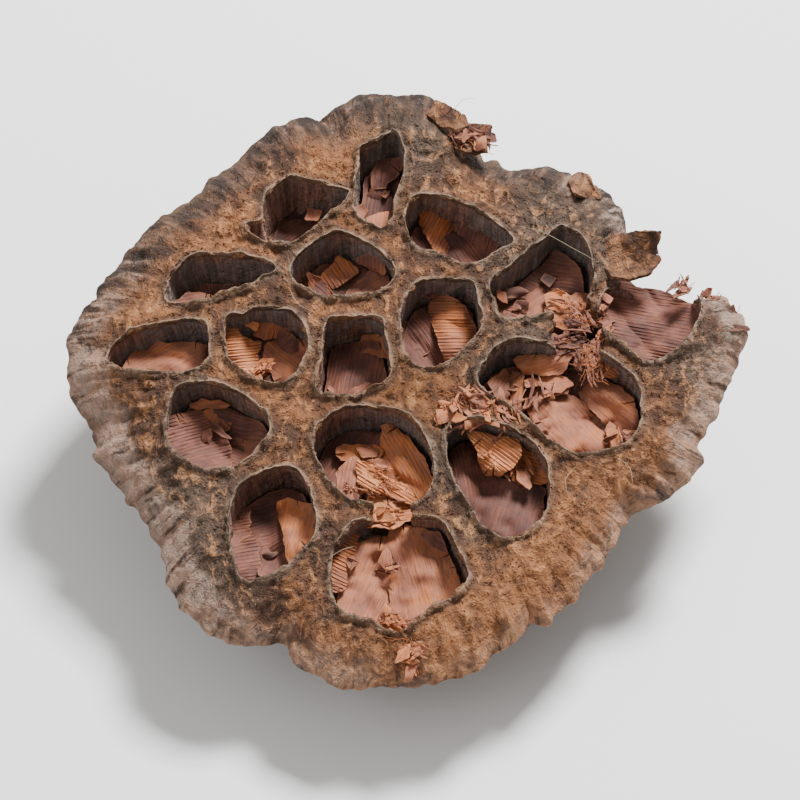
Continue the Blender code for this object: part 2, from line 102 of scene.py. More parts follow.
PITS = {
    "01": [(-21, 42), (-15.5, 41.5), (-10, 39.4), (-13, 35.6), (-17.5, 31.5), (-20.5, 29.6), (-24.5, 29.9),
           (-27.5, 32), (-24.8, 34), (-24.2, 38)],
    "02": [(-7.4, 48.2), (-4.3, 50), (-1.6, 51), (-0.8, 47.5), (-0.4, 43.5), (-2, 38), (-2.7, 34),
           (-4.5, 32.5), (-7.5, 34.4), (-8.6, 38), (-7.9, 43.9)],
    "03": [(2.6, 38.8), (6, 38.4), (9.8, 37.2), (14.1, 34.8), (18.4, 30), (15.9, 27.6), (10.3, 25.4),
           (6, 26.8), (2.6, 28.3), (0.8, 31.2), (0.6, 35.8)],
    "04": [(27.2, 32), (30.5, 29.7), (32.3, 25.8), (32.2, 20.3), (28.9, 16.6), (23.3, 14.9), (17.2, 14.3),
           (15.9, 17.5), (15, 21.3), (17.4, 23.4), (20.7, 26.4), (24.1, 29.5)],
    "05": [(35.4, 20.6), (40.5, 21.3), (46.5, 19.8), (50.6, 17.6), (50.4, 13.4), (48.8, 9.6), (45.7, 6.9),
           (42.4, 5.8), (38.2, 8.9), (35, 12), (34.2, 16.5)],
    "06": [(13.3, 3.8), (15.5, 7.6), (19, 9.2), (25.9, 8.6), (32.8, 7.4), (37.4, 4.4), (39.9, 1),
           (40.5, -3.3), (40.3, -7.3), (38, -10.2), (33.6, -11.9), (29.8, -12.4), (26, -10.7), (22.4, -6.6),
           (18.4, -2.9), (13.2, 0.4)],
    "07": [(-40.9, 17.9), (-40.6, 21.7), (-39.1, 25), (-36.7, 26.5), (-31, 26.7), (-25.9, 26.1),
           (-22.6, 24.2), (-24.7, 22.6), (-27, 20.8), (-30.6, 19.2), (-35, 17.9)],
    "08": [(-19.5, 23.4), (-18.1, 27), (-15.5, 29.5), (-11.9, 31.2), (-8.3, 30), (-4.9, 27.7), (-2.8, 24.9),
           (-2.4, 22.4), (-4.2, 20.1), (-7.2, 18.8), (-10.9, 18.2), (-15, 18.8), (-18, 20.5)],
    "09": [(-51.4, 5.8), (-50, 8.6), (-47, 10.8), (-43, 12.4), (-38.4, 13.6), (-35.2, 13.4), (-34.3, 11),
           (-33.8, 8), (-34.5, 5.4), (-37.6, 4), (-41.7, 3.3), (-46, 3.4), (-49.3, 4.3)],
    "10": [(-30.7, 13.8), (-28.1, 15.2), (-24.7, 16), (-21.2, 15.7), (-18.6, 13.9), (-17.2, 11.2),
           (-17.4, 6.9), (-18.9, 3.5), (-21.6, 1.4), (-25, 2), (-28.2, 4), (-30.4, 6.9), (-31, 10.4)],
    "11": [(-13.3, 12.4), (-10.7, 13.8), (-5, 13.8), (-3.6, 9.8), (-2.7, 4.9), (-2.9, 2.3), (-5.2, 0.3),
           (-9.5, -1), (-14, -1), (-14.9, 1.2), (-14.2, 6.5)],
    "12": [(-0.3, 15.9), (1.1, 19.4), (3.6, 21.3), (7.8, 21.5), (11.3, 20.9), (12.5, 17.3), (13.1, 12.8),
           (11.4, 9.8), (9.1, 7), (6.5, 4.9), (3.3, 4.3), (0.4, 6), (-0.5, 10.4)],
    "13": [(-41, -6.3), (-40, -2.1), (-37.8, 0.4), (-34.3, 1.3), (-29.8, -0.2), (-26.4, -2.5),
           (-23.8, -5.5), (-23.7, -8.5), (-25.6, -11.8), (-28.6, -14.3), (-31.6, -15.4), (-35.3, -14.8),
           (-38.8, -12.6), (-40.7, -9.6)],
    "14": [(-29.7, -23.4), (-28.1, -19.7), (-25, -16.6), (-21, -15.3), (-18, -16.5), (-16.4, -20.5),
           (-15.5, -25), (-15.7, -28.9), (-18.3, -32), (-20.9, -35), (-24.7, -37), (-27.7, -36),
           (-29.6, -29.9)],
    "15": [(-15.6, -10.6), (-14.1, -6.6), (-11.2, -4.4), (-6, -3.8), (-1.5, -4.8), (2.2, -7.7),
           (4.4, -12.2), (4.8, -17.1), (3.6, -20.9), (0, -22.3), (-5.2, -22.1), (-9.6, -21.2), (-12.7, -18),
           (-14.7, -14.2)],
    "16": [(7.4, -8.9), (9.3, -6.8), (12.9, -6.5), (17.6, -7.8), (21.9, -10.8), (24.2, -14.8),
           (24.4, -21.1), (22.9, -25.7), (19.8, -28.2), (15.9, -28.6), (13.3, -26.5), (11.2, -22.8),
           (8.9, -18.7), (7.6, -14.2)],
    "17": [(-12.6, -36.8), (-11.9, -31.5), (-9.2, -27.2), (-5.7, -25.6), (0.9, -25.2), (5.8, -25.7),
           (7.8, -28.9), (9.4, -33.3), (10.6, -37.2), (8.3, -40.2), (4.3, -42.6), (1.2, -45.2),
           (-1.7, -46.6), (-6, -44.9), (-10, -43.3), (-12.1, -40.4)],
}
# Broken walls: across, up, half length, half width, turn, depth
BREAKS = [
    (-2.4, -23.8, 3.6, 3.4, 0, 7.0),
    (30.0, 11.8, 4.6, 7.0, 8, 8.0),
    (45.4, 23.6, 8.4, 4.6, -20, 15.0),
]

# How a point at some drop shifts down the slope when it is seen from the front, at 50 degrees
SEEN_SHIFT = 0.553

# The papery scraps of each pit, as seen from the front: outline, drop, the way it climbs and how
# much in 10 mm, the way it curls and how much at 10 mm, the way its ribs run, their height, tone
# from dark purple-brown (0) to light orange (1), and at times the millimetres of edge to each tear
SCRAPS = {
    "01": [
        ([(-17, 37), (-14.5, 36.5), (-15.2, 34.5), (-17.5, 34.8)], 3.2, 270, 2, 0, 4, 70, 0.03, 0.55),
        ([(-24, 31), (-22.5, 33.5), (-20.5, 36), (-18, 38), (-16.5, 35), (-18.5, 32), (-21, 30.3)],
         7.5, 200, 2, 20, 3, 60, 0.06, 0.12),
    ],
    "02": [
        ([(-5, 46.5), (-3, 47), (-1, 47), (-0.8, 45), (-3, 42), (-4.5, 38), (-6, 37), (-6.5, 40),
         (-5.5, 44)], 5, 60, 2.5, 0, 5, 80, 0.05, 0.33),
        ([(-6.8, 35), (-4, 36.2), (-2.7, 36.5), (-3.3, 32.5), (-5.5, 32)],
         2.6, 250, 2, 0, 5, 80, 0.04, 0.62),
        ([(-9, 37), (-7.5, 38), (-6.3, 36.5), (-7.5, 35)], 2.6, 200, 2, 0, 4, 30, 0.03, 0.5),
    ],
    "03": [
        ([(2.5, 38), (5, 37), (8.5, 34), (9.5, 31), (8, 29), (5.5, 28.3), (4, 31), (3, 34)],
         4.8, 170, 3, 0, -8, 65, 0.08, 0.7),
        ([(8, 34), (10, 36.5), (14, 34.5), (17.5, 30.5), (14, 27.5), (10, 26.5), (6.5, 27.5), (8, 30)],
         5.8, 20, 2, 60, 5, 75, 0.08, 0.42),
    ],
    "04": [
        ([(17, 15.5), (18.5, 18), (21, 20.5), (23.5, 20.8), (25.5, 20), (24.8, 18), (25.5, 15.8),
         (22, 14.8), (18, 14.3)], 5, 250, 2.5, 60, -4, 40, 0.03, 0.55),
        ([(27.5, 26), (30.5, 28), (32.5, 26.5), (32.5, 24), (29.4, 20.6), (28, 23)],
         6.5, 30, 3, 90, 4, 60, 0.08, 0.08),
        ([(16, 20.5), (17.5, 20), (18, 17.8), (17, 18), (16.2, 19)], 3.6, 180, 4, 0, 12, 70, 0.03, 0.65),
        ([(24.5, 19.5), (26.5, 21), (28.5, 19.5), (29, 17.5), (27, 16), (25, 17)],
         4.2, 300, 5, 30, 9, 20, 0.06, 0.8),
        ([(28, 18.5), (30, 20), (32.5, 19.5), (33, 17), (31, 15.5), (28.5, 16.5)],
         3.2, 240, 4, 100, -12, 60, 0.05, 0.62),
        ([(25.5, 15.5), (27.5, 16.5), (30, 15.5), (30.5, 13.5), (27.5, 12.6), (25.3, 13.6)],
         3.4, 330, 5, 20, 10, 10, 0.05, 0.75),
    ],
    "05": [
        ([(33.4, 21), (35, 23.5), (37.5, 22.5), (40, 21.2), (45, 20), (50.5, 17.5), (51, 15.5),
         (50.5, 12.5), (48, 8.5), (45, 6.2), (41.5, 5), (40.2, 7.5), (36, 11), (33.6, 14.5)],
         4.4, 300, 1.6, 10, 3.4, -12, 0.07, 0.34, 99),
    ],
    "06": [
        ([(21, 0), (23, 1), (29, -0.5), (31, -2), (33.5, -6), (35.5, -11), (33, -12), (28, -11.5),
         (25, -9.5), (23, -7), (21.5, -4)], 4.2, 210, 1.5, 130, -2.5, -50, 0.04, 0.62),
        ([(30, 1.5), (33, 3), (37, 1.5), (39.5, -1.5), (40.2, -6), (38, -8.5), (35, -6), (33, -4),
         (30.5, -1.5)], 3.8, 20, 2, 100, -3, -45, 0.05, 0.6),
        ([(35, -7), (38, -8), (40, -7.5), (40, -9), (37, -10), (36, -11.5), (35.3, -9)],
         3, 330, 3, 0, 6, 30, 0.04, 0.7),
        ([(14.5, 2), (17.5, 5), (18.3, 3), (17.5, -1.5), (15.5, -0.5)], 4.6, 160, 3, 0, 5, 60, 0.06, 0.45),
        ([(18.6, 4.5), (20.5, 3.5), (20, 0), (19.8, -3), (18, -2)], 4.8, 0, 3, 0, 5, 80, 0.04, 0.58),
        ([(19, 6.5), (21, 7.3), (25, 7), (28, 9.5), (29, 11), (28.5, 8), (28, 5), (26.5, 4), (24, 4),
         (21, 4.5)], 2, 60, 2, 90, -8, 20, 0.04, 0.58),
        ([(20.5, 2.5), (23.5, 3), (28, 3), (29, 1.5), (27, 0.3), (25.5, 0.2), (23.5, 1.3), (21, 1.2)],
         2.8, 270, 3, 90, -14, 5, 0.05, 0.6),
        ([(29, 10.5), (31, 10), (32.5, 7.5), (31, 5.5), (29, 5.5), (29, 8)],
         1.6, 0, 3, 60, -9, 70, 0.04, 0.5),
        ([(31, 8.5), (34, 9.5), (37, 7.5), (38.5, 4), (36, 3), (33, 4.2), (31.5, 5.5)],
         2.4, 60, 3, 30, -6, -30, 0.08, 0.66),
    ],
    "07": [
        ([(-40.5, 18), (-38, 19.8), (-34, 19.6), (-31, 18.8), (-33, 17.8), (-37, 17.3)],
         4.6, 260, 3, 90, 5, 10, 0.05, 0.5),
    ],
    "08": [
        ([(-11.5, 27.5), (-8.6, 24.9), (-8.5, 24.2), (-12, 21.2), (-13, 20.8), (-14.8, 22.5), (-14.5, 24)],
         4.6, 60, 2, 30, -3, -60, 0.08, 0.66),
        ([(-17, 24), (-14.5, 23), (-12.5, 20), (-12.9, 18.5), (-16.5, 20)],
         4.8, 200, 3, 0, 4, -60, 0.07, 0.52),
        ([(-11, 19), (-8, 22.3), (-5, 25), (-3.2, 23.4), (-3.2, 21.5), (-5, 19), (-9, 18.2)],
         4.2, 340, 4, 45, 6, 40, 0.06, 0.42),
        ([(-8.5, 26.5), (-6, 28), (-3.5, 25.5), (-3.6, 23.6), (-5.5, 24.8)],
         2.6, 30, 7, 0, 4, 90, 0.08, 0.5),
    ],
    "09": [
        ([(-49, 5), (-48.5, 6), (-47, 7.6), (-44.5, 8.7), (-43, 10), (-38, 10), (-34.5, 9), (-34, 6),
         (-37, 4.5), (-42, 3.5), (-46, 3.5)], 3.4, 200, 1.2, 90, -2, 30, 0.04, 0.54),
    ],
    "10": [
        ([(-30.5, 14.5), (-29.5, 13), (-28.5, 11), (-27, 10.5), (-25.3, 10.3), (-25.2, 5), (-25.5, 3.5),
         (-27, 4), (-29, 4.2), (-30.6, 6.5), (-31, 10)], 3.6, 180, 4.5, 0, -10, 5, 0.1, 0.92),
        ([(-24.3, 10), (-17.2, 11), (-17, 6), (-19, 3.5), (-21.5, 1.5), (-22.5, 2.5), (-23.2, 4),
         (-24.8, 4.5), (-24.2, 8.5)], 5.2, 310, 2.5, 45, -4, -40, 0.05, 0.6),
        ([(-26.3, 11.5), (-25.5, 14), (-22, 14), (-20, 13.3), (-19.2, 11.9), (-21, 11.5), (-22.5, 11),
         (-24.5, 10.6)], 4.8, 90, 3, 0, -3, 80, 0.03, 0.62),
        ([(-28.5, 14.5), (-25.5, 13.8), (-25.8, 12.5), (-27.5, 13.3)], 3.4, 120, 3, 0, 3, 0, 0.04, 0.9),
    ],
    "11": [
        ([(-7.5, 11.5), (-5, 11.8), (-3.6, 11), (-2.9, 7), (-4, 7.2), (-6, 8), (-8.5, 8.2)],
         3.6, 0, 4, 90, 5, 80, 0.05, 0.62),
        ([(-13, 1), (-12, 3.5), (-8, 6), (-5.5, 7), (-3, 5), (-2.9, 2), (-6, 0), (-10, -1)],
         6.2, 300, 2.5, 120, -8, 35, 0.04, 0.42),
    ],
    "12": [
        ([(6.5, 20), (4.6, 18), (4.4, 16), (5.2, 13), (6, 10.5), (6.8, 8), (7.2, 6.5), (9, 6.7), (11, 8.5),
         (12.5, 11), (12.3, 13), (10.5, 16.5), (8.5, 19)], 3.6, 90, 0.5, 0, -9, 0, 0.08, 0.66),
        ([(0, 14), (3, 14.5), (5, 14), (5.5, 11), (4, 8), (2, 6), (0.3, 6), (-0.3, 10)],
         6.4, 180, 2, 0, 5, 80, 0.05, 0.3),
        ([(2, 5.5), (4, 9), (5.5, 10.5), (6.8, 8), (6.5, 5.5), (4, 4.6)], 7, 240, 3, 60, 5, 60, 0.07, 0.3),
    ],
    "13": [
        ([(-41, -5), (-38, -4), (-35.5, -3.5), (-33.5, -7.5), (-31.3, -7.8), (-30.3, -11), (-30, -15),
         (-33, -15.5), (-36.5, -14.5), (-39.5, -11.5), (-41, -8)], 4, 215, 2.5, 100, 2, 17, 0.08, 0.38),
        ([(-36, -4), (-34.5, -3.5), (-31, -3.3), (-30.2, -4), (-30, -6), (-30.5, -7.5), (-33, -7.8),
         (-35, -7)], 5.4, 90, 2, 0, -4, 70, 0.03, 0.58),
        ([(-37, -2.5), (-35, -1.3), (-32, -1.6), (-30.3, -2.4), (-31, -3), (-33, -3), (-36, -3)],
         4.5, 90, 4, 0, 4, 10, 0.03, 0.66),
        ([(-31, -8), (-29.5, -9), (-26, -10), (-24.5, -9.5), (-26, -12.5), (-29, -14.8), (-30, -15)],
         5.6, 310, 3, 40, 4, -30, 0.03, 0.42),
    ],
    "14": [
        ([(-29.8, -24), (-28, -22.5), (-26.5, -23), (-27, -26.5), (-25.8, -29), (-25.3, -31), (-25, -36),
         (-28.8, -37.5), (-29.8, -30)], 4.6, 190, 4, 0, 4, 10, 0.08, 0.36),
        ([(-21.7, -21.5), (-20, -20.7), (-16, -22), (-15.3, -24), (-15.3, -29), (-17, -31.5),
         (-19.8, -33.2), (-20.3, -30), (-21.2, -26)], 2.6, 350, 2.5, 0, -4, 80, 0.03, 0.72),
        ([(-25, -29.5), (-22, -26.5), (-20.8, -27), (-20, -33), (-22, -36), (-24.8, -35.5)],
         6.2, 260, 3, 0, 5, 70, 0.05, 0.3),
    ],
    "15": [
        ([(-11.8, -11), (-10.5, -10.3), (-7, -10.3), (-5, -10), (-4, -11.5), (-5, -13.5), (-7, -14),
         (-9, -13.2), (-11, -13.2), (-11.8, -12.4)], 5, 90, 1.5, 0, 2, 70, 0.03, 0.74),
        ([(-4, -6.5), (-2.3, -6), (0, -8.5), (3.5, -13), (4.8, -17), (4.8, -20.5), (3, -22.3), (0, -23),
         (-3, -19), (-5, -16.5), (-4.8, -13), (-4, -10)], 3.6, 20, 2.5, 30, -5, -62, 0.06, 0.8),
        ([(-8.3, -13.5), (-5, -14.5), (-3, -16.5), (0, -18.5), (1.8, -21), (1, -21.5), (-3, -20),
         (-6, -18.8), (-8, -17.3)], 2.6, 150, 2, 55, -7, -35, 0.12, 0.86),
        ([(-11.8, -15.5), (-9.5, -13), (-8.5, -12.8), (-8, -18), (-8.3, -20), (-10, -21.5), (-11.5, -20.5)],
         2, 190, 3, 0, -8, 80, 0.08, 0.6),
        ([(-7.3, -22.5), (-5.5, -20.2), (-2, -20.5), (1, -22), (1.5, -24.5), (-2, -26), (-6.5, -26),
         (-7, -24)], 3, 260, 2, 90, -8, 10, 0.08, 0.86),
    ],
    "16": [
        ([(14, -16.2), (17, -17), (22, -18), (24, -19), (23.7, -24), (22, -26.5), (18, -28.3), (14, -28.5),
         (12.3, -26), (11.5, -23), (12.5, -19)], 4.4, 330, 1.5, 0, -2, 75, 0.02, 0.24),
        ([(20.3, -10), (22, -12), (24, -15), (24.7, -17.5), (21, -17.5), (17, -16.3), (19, -14.8),
         (20, -12)], 3.6, 20, 3.5, 60, -5, -20, 0.08, 0.8),
        ([(10.7, -7.5), (15.5, -8.5), (19.5, -9.5), (20, -11.5), (18.5, -14.5), (16, -16), (14, -15.8),
         (13, -13.5), (12.5, -11), (11.5, -9.5)], 1.2, 60, 2.5, 60, -9, -40, 0.12, 0.84),
        ([(8, -9.5), (11, -8.5), (13, -12), (13, -16), (12, -20), (10.5, -21), (8.8, -17), (7.8, -13)],
         7, 180, 3, 0, 5, 80, 0.06, 0.12),
    ],
    "17": [
        ([(-9.8, -32.5), (-8, -29.5), (-5, -28.5), (-3, -28), (-2.6, -34), (-2.5, -38), (-2.3, -41),
         (-4, -46.5), (-6, -45), (-10, -44.5), (-11.5, -42), (-10.5, -36)],
         4.4, 200, 2, 0, 3, 70, 0.04, 0.6),
        ([(-2.8, -27), (0, -26), (3, -26.5), (5.5, -28), (7, -31), (9, -36), (9.8, -39.5), (7.8, -41.8),
         (2.5, -43), (1.8, -46), (0, -47.5), (-1.5, -44), (-2.5, -38), (-2, -33), (-3, -30)],
         3.4, 350, 1.5, 10, -3, -75, 0.03, 0.64),
        ([(-12.7, -36), (-12, -31), (-10.5, -28), (-9.3, -26.3), (-7.8, -27.5), (-8.8, -31), (-10, -35),
         (-10.3, -38), (-12, -38.5)], 2.2, 180, 6, 0, -6, -30, 0.14, 0.72),
        ([(-4.5, -33), (-3, -29.5), (-2.2, -33.5), (-3.3, -34.7)], 3.2, 0, 3, 0, 6, 90, 0.03, 0.6),
        ([(-3, -41), (-1, -45), (0.3, -48.5), (-2, -47.5), (-4.2, -46)],
         2.8, 250, 3, 60, 8, 60, 0.08, 0.95),
    ],
}
# Crumpled flakes in the pits, as seen from the front: across, up, how far they spread, drop,
# how many, and their tone
FLAKES = {
    "02": [(-3, 40, 2.5, 5.5, 2, 0.4)],
    "04": [(28.5, 16.5, 3.2, 2.6, 9, 0.66), (19, 17.5, 3, 4.6, 3, 0.5), (26, 22, 3, 6, 3, 0.2)],
    "05": [(34.2, 19, 1.6, 1.6, 4, 0.6), (33.8, 14, 1.8, 2, 4, 0.55)],
    "06": [(33.5, 6.8, 3.4, 2, 7, 0.5), (27, 9.5, 2.6, 1.8, 5, 0.45), (24, -3, 4.5, 3.4, 4, 0.55),
           (37, -8.5, 2.8, 2.6, 5, 0.66), (18, 1.5, 3, 4.2, 4, 0.45)],
    "10": [(-24.6, 4.2, 1.4, 4.4, 3, 0.8)],
    "13": [(-34, -7.6, 2, 4.2, 2, 0.55)],
    "14": [(-22.4, -31, 2.4, 5.4, 3, 0.4)],
    "15": [(-5, -12.6, 2.4, 4.4, 3, 0.7), (-5.5, -17.4, 3.6, 2.8, 5, 0.9), (-9.5, -19.5, 1.8, 2.6, 3, 0.6),
           (-2, -23.2, 3.2, 2.4, 4, 0.85)],
    "16": [(21, -15.6, 2.2, 3, 3, 0.75)],
    "17": [(-2.2, -44, 2, 2.4, 4, 0.85), (-10, -33.5, 1.8, 3, 2, 0.6)],
}
# Shreds in the pits, given as the flakes are
SHREDS = {
    "04": [(30, 15, 2.4, 2, 12, 0.62)],
    "05": [(34, 17, 1.2, 1, 12, 0.7), (34.6, 12, 1.4, 1.4, 10, 0.7)],
    "06": [(33, 6.5, 3.6, 1.4, 34, 0.56), (28.5, 10, 2.6, 1.4, 12, 0.5), (22, -1.5, 3.5, 2.8, 5, 0.6),
           (38, -9, 2, 2.4, 4, 0.7)],
    "10": [(-24.4, 5, 1, 4, 8, 0.9)],
    "12": [(4.5, 19.5, 1, 3.5, 4, 0.6)],
    "15": [(-4.5, -17.6, 3.2, 2.4, 7, 0.8), (-2, -22.6, 2.6, 2.2, 6, 0.78), (-9.8, -18, 1.2, 2, 6, 0.7)],
    "16": [(14, -9.5, 2.6, 1.2, 3, 0.8), (19.5, -15, 2.6, 2.6, 5, 0.74)],
    "17": [(-2, -44.5, 1.8, 1.8, 16, 0.8), (-2.4, -34, 1, 2.8, 6, 0.7)],
}
# The skin that lines each pit: how deep it lies where not at the usual depth, and its tone
LINING_DEPTH = 6.0
LINING_DROP = {"01": 8.0, "05": 6.0, "07": 7.0, "15": 7.0}
LINING_TONE = 0.32
RIB_PITCH = 0.66

# Torn scraps of the rim itself: as the papery ones, with the drop above the face negative
RIM_SCRAPS = [
    ([(4.2, 56), (5.4, 58.6), (8, 57.5), (10.6, 55.6), (11.2, 53.8), (9, 52.8), (6.5, 53.5)],
     -0.6, 60, 1.5, 90, 6, 20, 0.03, 0.3),
    ([(8, 51.5), (10, 53.5), (13, 54), (15.4, 53.6), (14.4, 51.2), (14.8, 48.6), (12, 48), (9, 49)],
     -0.4, 60, 2, 60, 8, 30, 0.04, 0.8),
    ([(28.8, 42.2), (30.5, 44), (31.8, 43.8), (33.4, 40.8), (34, 39.2), (31.5, 38.8), (29.5, 40)],
     -0.6, 60, 2, 60, 6, 60, 0.03, 0.4),
    ([(33.5, 29.5), (36, 31), (40, 31.6), (44.6, 32.2), (43.6, 29.4), (44, 26.6), (42, 23.4), (39, 22.6),
     (36, 23.4), (34, 26)], -0.3, 30, 2.5, 60, 6, 20, 0.03, 0.45),
]

# Orange flakes torn loose on the face, given as those in the pits
FACE_FLAKES = [
    (7.6, -3.2, 2.4, -1.9, 7, 0.74), (12.4, -1.8, 3, -1.6, 12, 0.74), (16.6, -3.8, 2.8, -1, 9, 0.72),
    (10.6, -5.4, 2.4, -1.4, 6, 0.68), (1.2, -49.6, 1.9, -0.6, 6, 0.78), (1.4, -53, 1.6, 1.5, 5, 0.74),
    (9.6, 51.6, 1.8, -1.4, 4, 0.58), (13.4, 51, 1.8, -1.2, 5, 0.6), (47.6, 21.2, 1.8, -0.5, 3, 0.54),
    (52.4, 18.2, 2, 0.3, 4, 0.54), (57, 13.4, 1.6, 1.2, 3, 0.52),
]
# Orange shreds torn loose on the face, given as those in the pits
FACE_SHREDS = [
    (8, -3.4, 2.4, -2, 8, 0.72), (12.6, -2, 2.8, -1.8, 15, 0.74), (17, -3.8, 2.6, -1.2, 12, 0.7),
    (10.6, -5.6, 2.2, -1.6, 6, 0.66), (1.3, -49.8, 1.6, -0.8, 12, 0.76), (1.5, -53, 1.4, 1, 8, 0.72),
    (10, 51.6, 1.8, -1.6, 5, 0.55), (13.4, 51.2, 1.8, -1.4, 6, 0.58), (47.6, 21.6, 1.6, -0.8, 5, 0.58),
    (52.4, 18.6, 1.8, 0, 5, 0.58), (57, 13.6, 1.3, 1, 3, 0.55), (30, 14.5, 2.2, -0.2, 8, 0.48),
]

# Tufts of orange fibres, as seen from the front: across, up, drop, radius
TUFTS = [
    (1, -49.5, -0.2, 2.6), (1.6, -52.6, 1.5, 2.2), (8, -2.2, -1.2, 3.2), (13, -3.6, -0.8, 3.2),
    (17.5, -4.6, 0.6, 3), (10.2, 51, -0.6, 1.6), (13.4, 50.6, -0.4, 1.4), (47.5, 21, 0.2, 1),
    (52.5, 17.6, 0.8, 1), (56.5, 13.8, 2, 0.9), (33, 6.2, 0.6, 3.2), (29.5, 15.5, 1.6, 2.6),
    (-4.5, -17.2, 2.6, 3), (17.5, -13, 2.6, 2),
]

# Fine pale hairs that lie over the face: their points as (across, up, drop)
HAIRS = [
    [(19.8, 32.1, -2.2), (24, 30.5, -2.8), (29, 27.5, -2.6), (33.6, 25.2, -1.6)],
    [(29.3, -15.2, -1.4), (27.5, -18, -2.0), (27.8, -21, -1.6)],
    [(-14, -33.5, -0.8), (-11, -31.5, -1.4), (-8.6, -30.2, -0.6)],
    [(8.2, 55.2, -1.4), (10, 57.6, -2.2), (12.4, 58.2, -2.0)],
    [(-20.2, 20.2, -1.8), (-18.6, 16.6, -2.2), (-15.4, 14.8, -1.8)],
    [(36.2, -13.5, -1.6), (38.4, -15.6, -2.0), (39, -18.6, -1.4)],
]

# How golden the rim is at each angle round the pod, from dark grey (0) to golden (1): the rim's own golden
# colour, raised on the near, lower rim as painted light, since that side faces down and away from the lamps
RIM_GOLD_AND_LIGHT = [
    (-180, 0.35), (-155, 0.15), (-130, 0.35), (-108, 0.8), (-90, 0.95), (-60, 0.95), (-35, 0.75),
    (-10, 0.45), (20, 0.25), (45, 0.05), (75, 0.1), (100, 0.15), (130, 0.2), (160, 0.3),
]
# How pale the rim is at each angle, from dark (-1) to pale (1): painted light and shade, darker at the back,
# which the lamps behind light most, and paler on the left and near sides
RIM_PAINTED_LIGHT_AND_SHADE = [
    (-180, 1), (-155, 0.7), (-130, 0.4), (-105, 0.9), (-85, 1), (-50, 0.8), (-10, 0.55), (20, 0.2),
    (50, -0.3), (80, -0.9), (120, -1), (150, -0.6), (165, 0.1),
]
# Places of the face that are greyer (below 0) or more golden (above 0): across, up, radius, tone
FACE_TONES = [
    (8.6, -14, 7, -0.9), (12, -28, 6, -0.6), (21, 11, 7, -0.6), (13, 3, 4.5, -0.5), (17, 25, 5, -0.5),
    (30, 38, 12, -1), (36, 28, 7, -0.5), (1, 56, 9, -0.8), (3, 45, 6, -0.4), (-43, -25, 14, -0.8),
    (-30, -40, 10, -0.4), (-20, -45, 8, 0.2), (52, 6, 9, -0.7), (-13, -33, 5, -0.3), (-30, -18, 5, -0.2),
    (-48, 24, 9, -0.5), (-30, 42, 10, -0.6), (-17, -1, 7, 0.2), (2, -1, 6, 0.5), (-33, 31, 8, 0.4),
    (23, -38, 13, 0.7), (2, -49, 8, 0.5), (-45, 15, 6, 0.5), (-14, 46, 7, 0.6), (45, -10, 8, 0.3),
    (-10, 16, 6, 0.4), (30, -24, 7, 0.4), (-30, 37, 7, 0.6), (-43, 20, 7, 0.4), (10, -50, 7, 0.5),
    (36, -18, 8, 0.3), (-36, 2, 3, -0.4),
]
# The marks that the pod's colours read from its points; the last is a vector
POD_MARKS = ("wall", "lip", "seam", "rim", "under", "gold", "tint", "pale", "grain")

# How finely things are drawn: points round a pit, its map's step and margin, the body's spokes and
# steps between profile points, the depth of its distance field, its triangles, and the spacing of
# points along a lip and along a torn edge
OUTLINE_POINTS = 96
MAP_STEP = 0.25
MAP_MARGIN = 6.0
BODY_SPOKES = 480
PROFILE_STEPS = 4
LEVELS = 8
POD_TRIANGLES = 196000
LIP_STEP = 0.28
TORN_STEP = 0.27
# The distance that stands for nowhere near a pit
FAR_OFF = 9.0
# The angle between two faces from which their edge is sharp
SCRAP_CREASE = 38.0
LIP_CREASE = 50.0

# The lip's cross-section: distance out, share of its lean, height (above 0 as a share), paleness
LIP_SECTION = [
    (-0.04, 0.0, -0.9, 0.4), (-0.06, 0.0, 0.0, 0.7), (0.0, 1.0, 1.0, 1.0), (0.15, 1.0, 0.94, 1.0),
    (0.40, 0.0, 0.05, 0.7), (0.55, 0.0, -0.6, 0.4),
]

# The stage, in metres and degrees
FLOOR_HALF = 1.5
LAMPS = {"key": (0.25, (0.28, 0.42, 0.75)), "fill": (0.8, (-0.7, -0.35, 0.6))}
LAMP_AIM = (0, 0, 0.02)
CAMERA_LIFT = 50.0
# How wide the view is at the pod
CAMERA_VIEW = 0.138
CAMERA_SHIFT = (-0.00086, -0.0012)
SENSOR = 36.0

# Colours that the sidebar leaves alone, from dark to light where there are two
DUSK = (0.030, 0.021, 0.017), (0.155, 0.108, 0.078)
# Painted shade for the hollows of the corky bumps, and painted light for their crests
HOLLOW_SHADE = (0.034, 0.019, 0.013)
CREST_LIGHT = (0.50, 0.240, 0.112)
SPECK = (0.032, 0.017, 0.011)
# Painted shade for the sunken groove of the web just outside each lip
LIP_GROOVE_SHADE = (0.040, 0.022, 0.016)
RIM_BROWN = (0.190, 0.100, 0.064)
# The golden rim's colours; the light one is lifted as painted light for the near, lower rim, which faces away
# from the lamps
GOLDEN_RIM_AND_LIGHT = (0.10, 0.056, 0.038), (0.40, 0.195, 0.098)
FURROW_SHADE = (0.024, 0.018, 0.017)
GREY_WALL = (0.136, 0.113, 0.108), (0.280, 0.210, 0.184)
LINED_WALL = (0.150, 0.086, 0.070), (0.360, 0.196, 0.146)
DUST = (0.42, 0.38, 0.33)
UNDERSIDE = (0.055, 0.031, 0.022), (0.13, 0.078, 0.048)
SKIN_DARK = [(0.0, (0.026, 0.012, 0.010)), (0.25, (0.072, 0.031, 0.026)), (0.42, (0.138, 0.050, 0.036))]
SKIN_LIGHT = (0.375, 0.140, 0.074), (0.56, 0.22, 0.10)
SKIN_FIBRE = (0.045, 0.019, 0.014)
# Painted shade for the grooves between a scrap's ribs
SKIN_GROOVE_SHADE = (0.044, 0.018, 0.013)
SKIN_HAZE = (0.150, 0.102, 0.092)
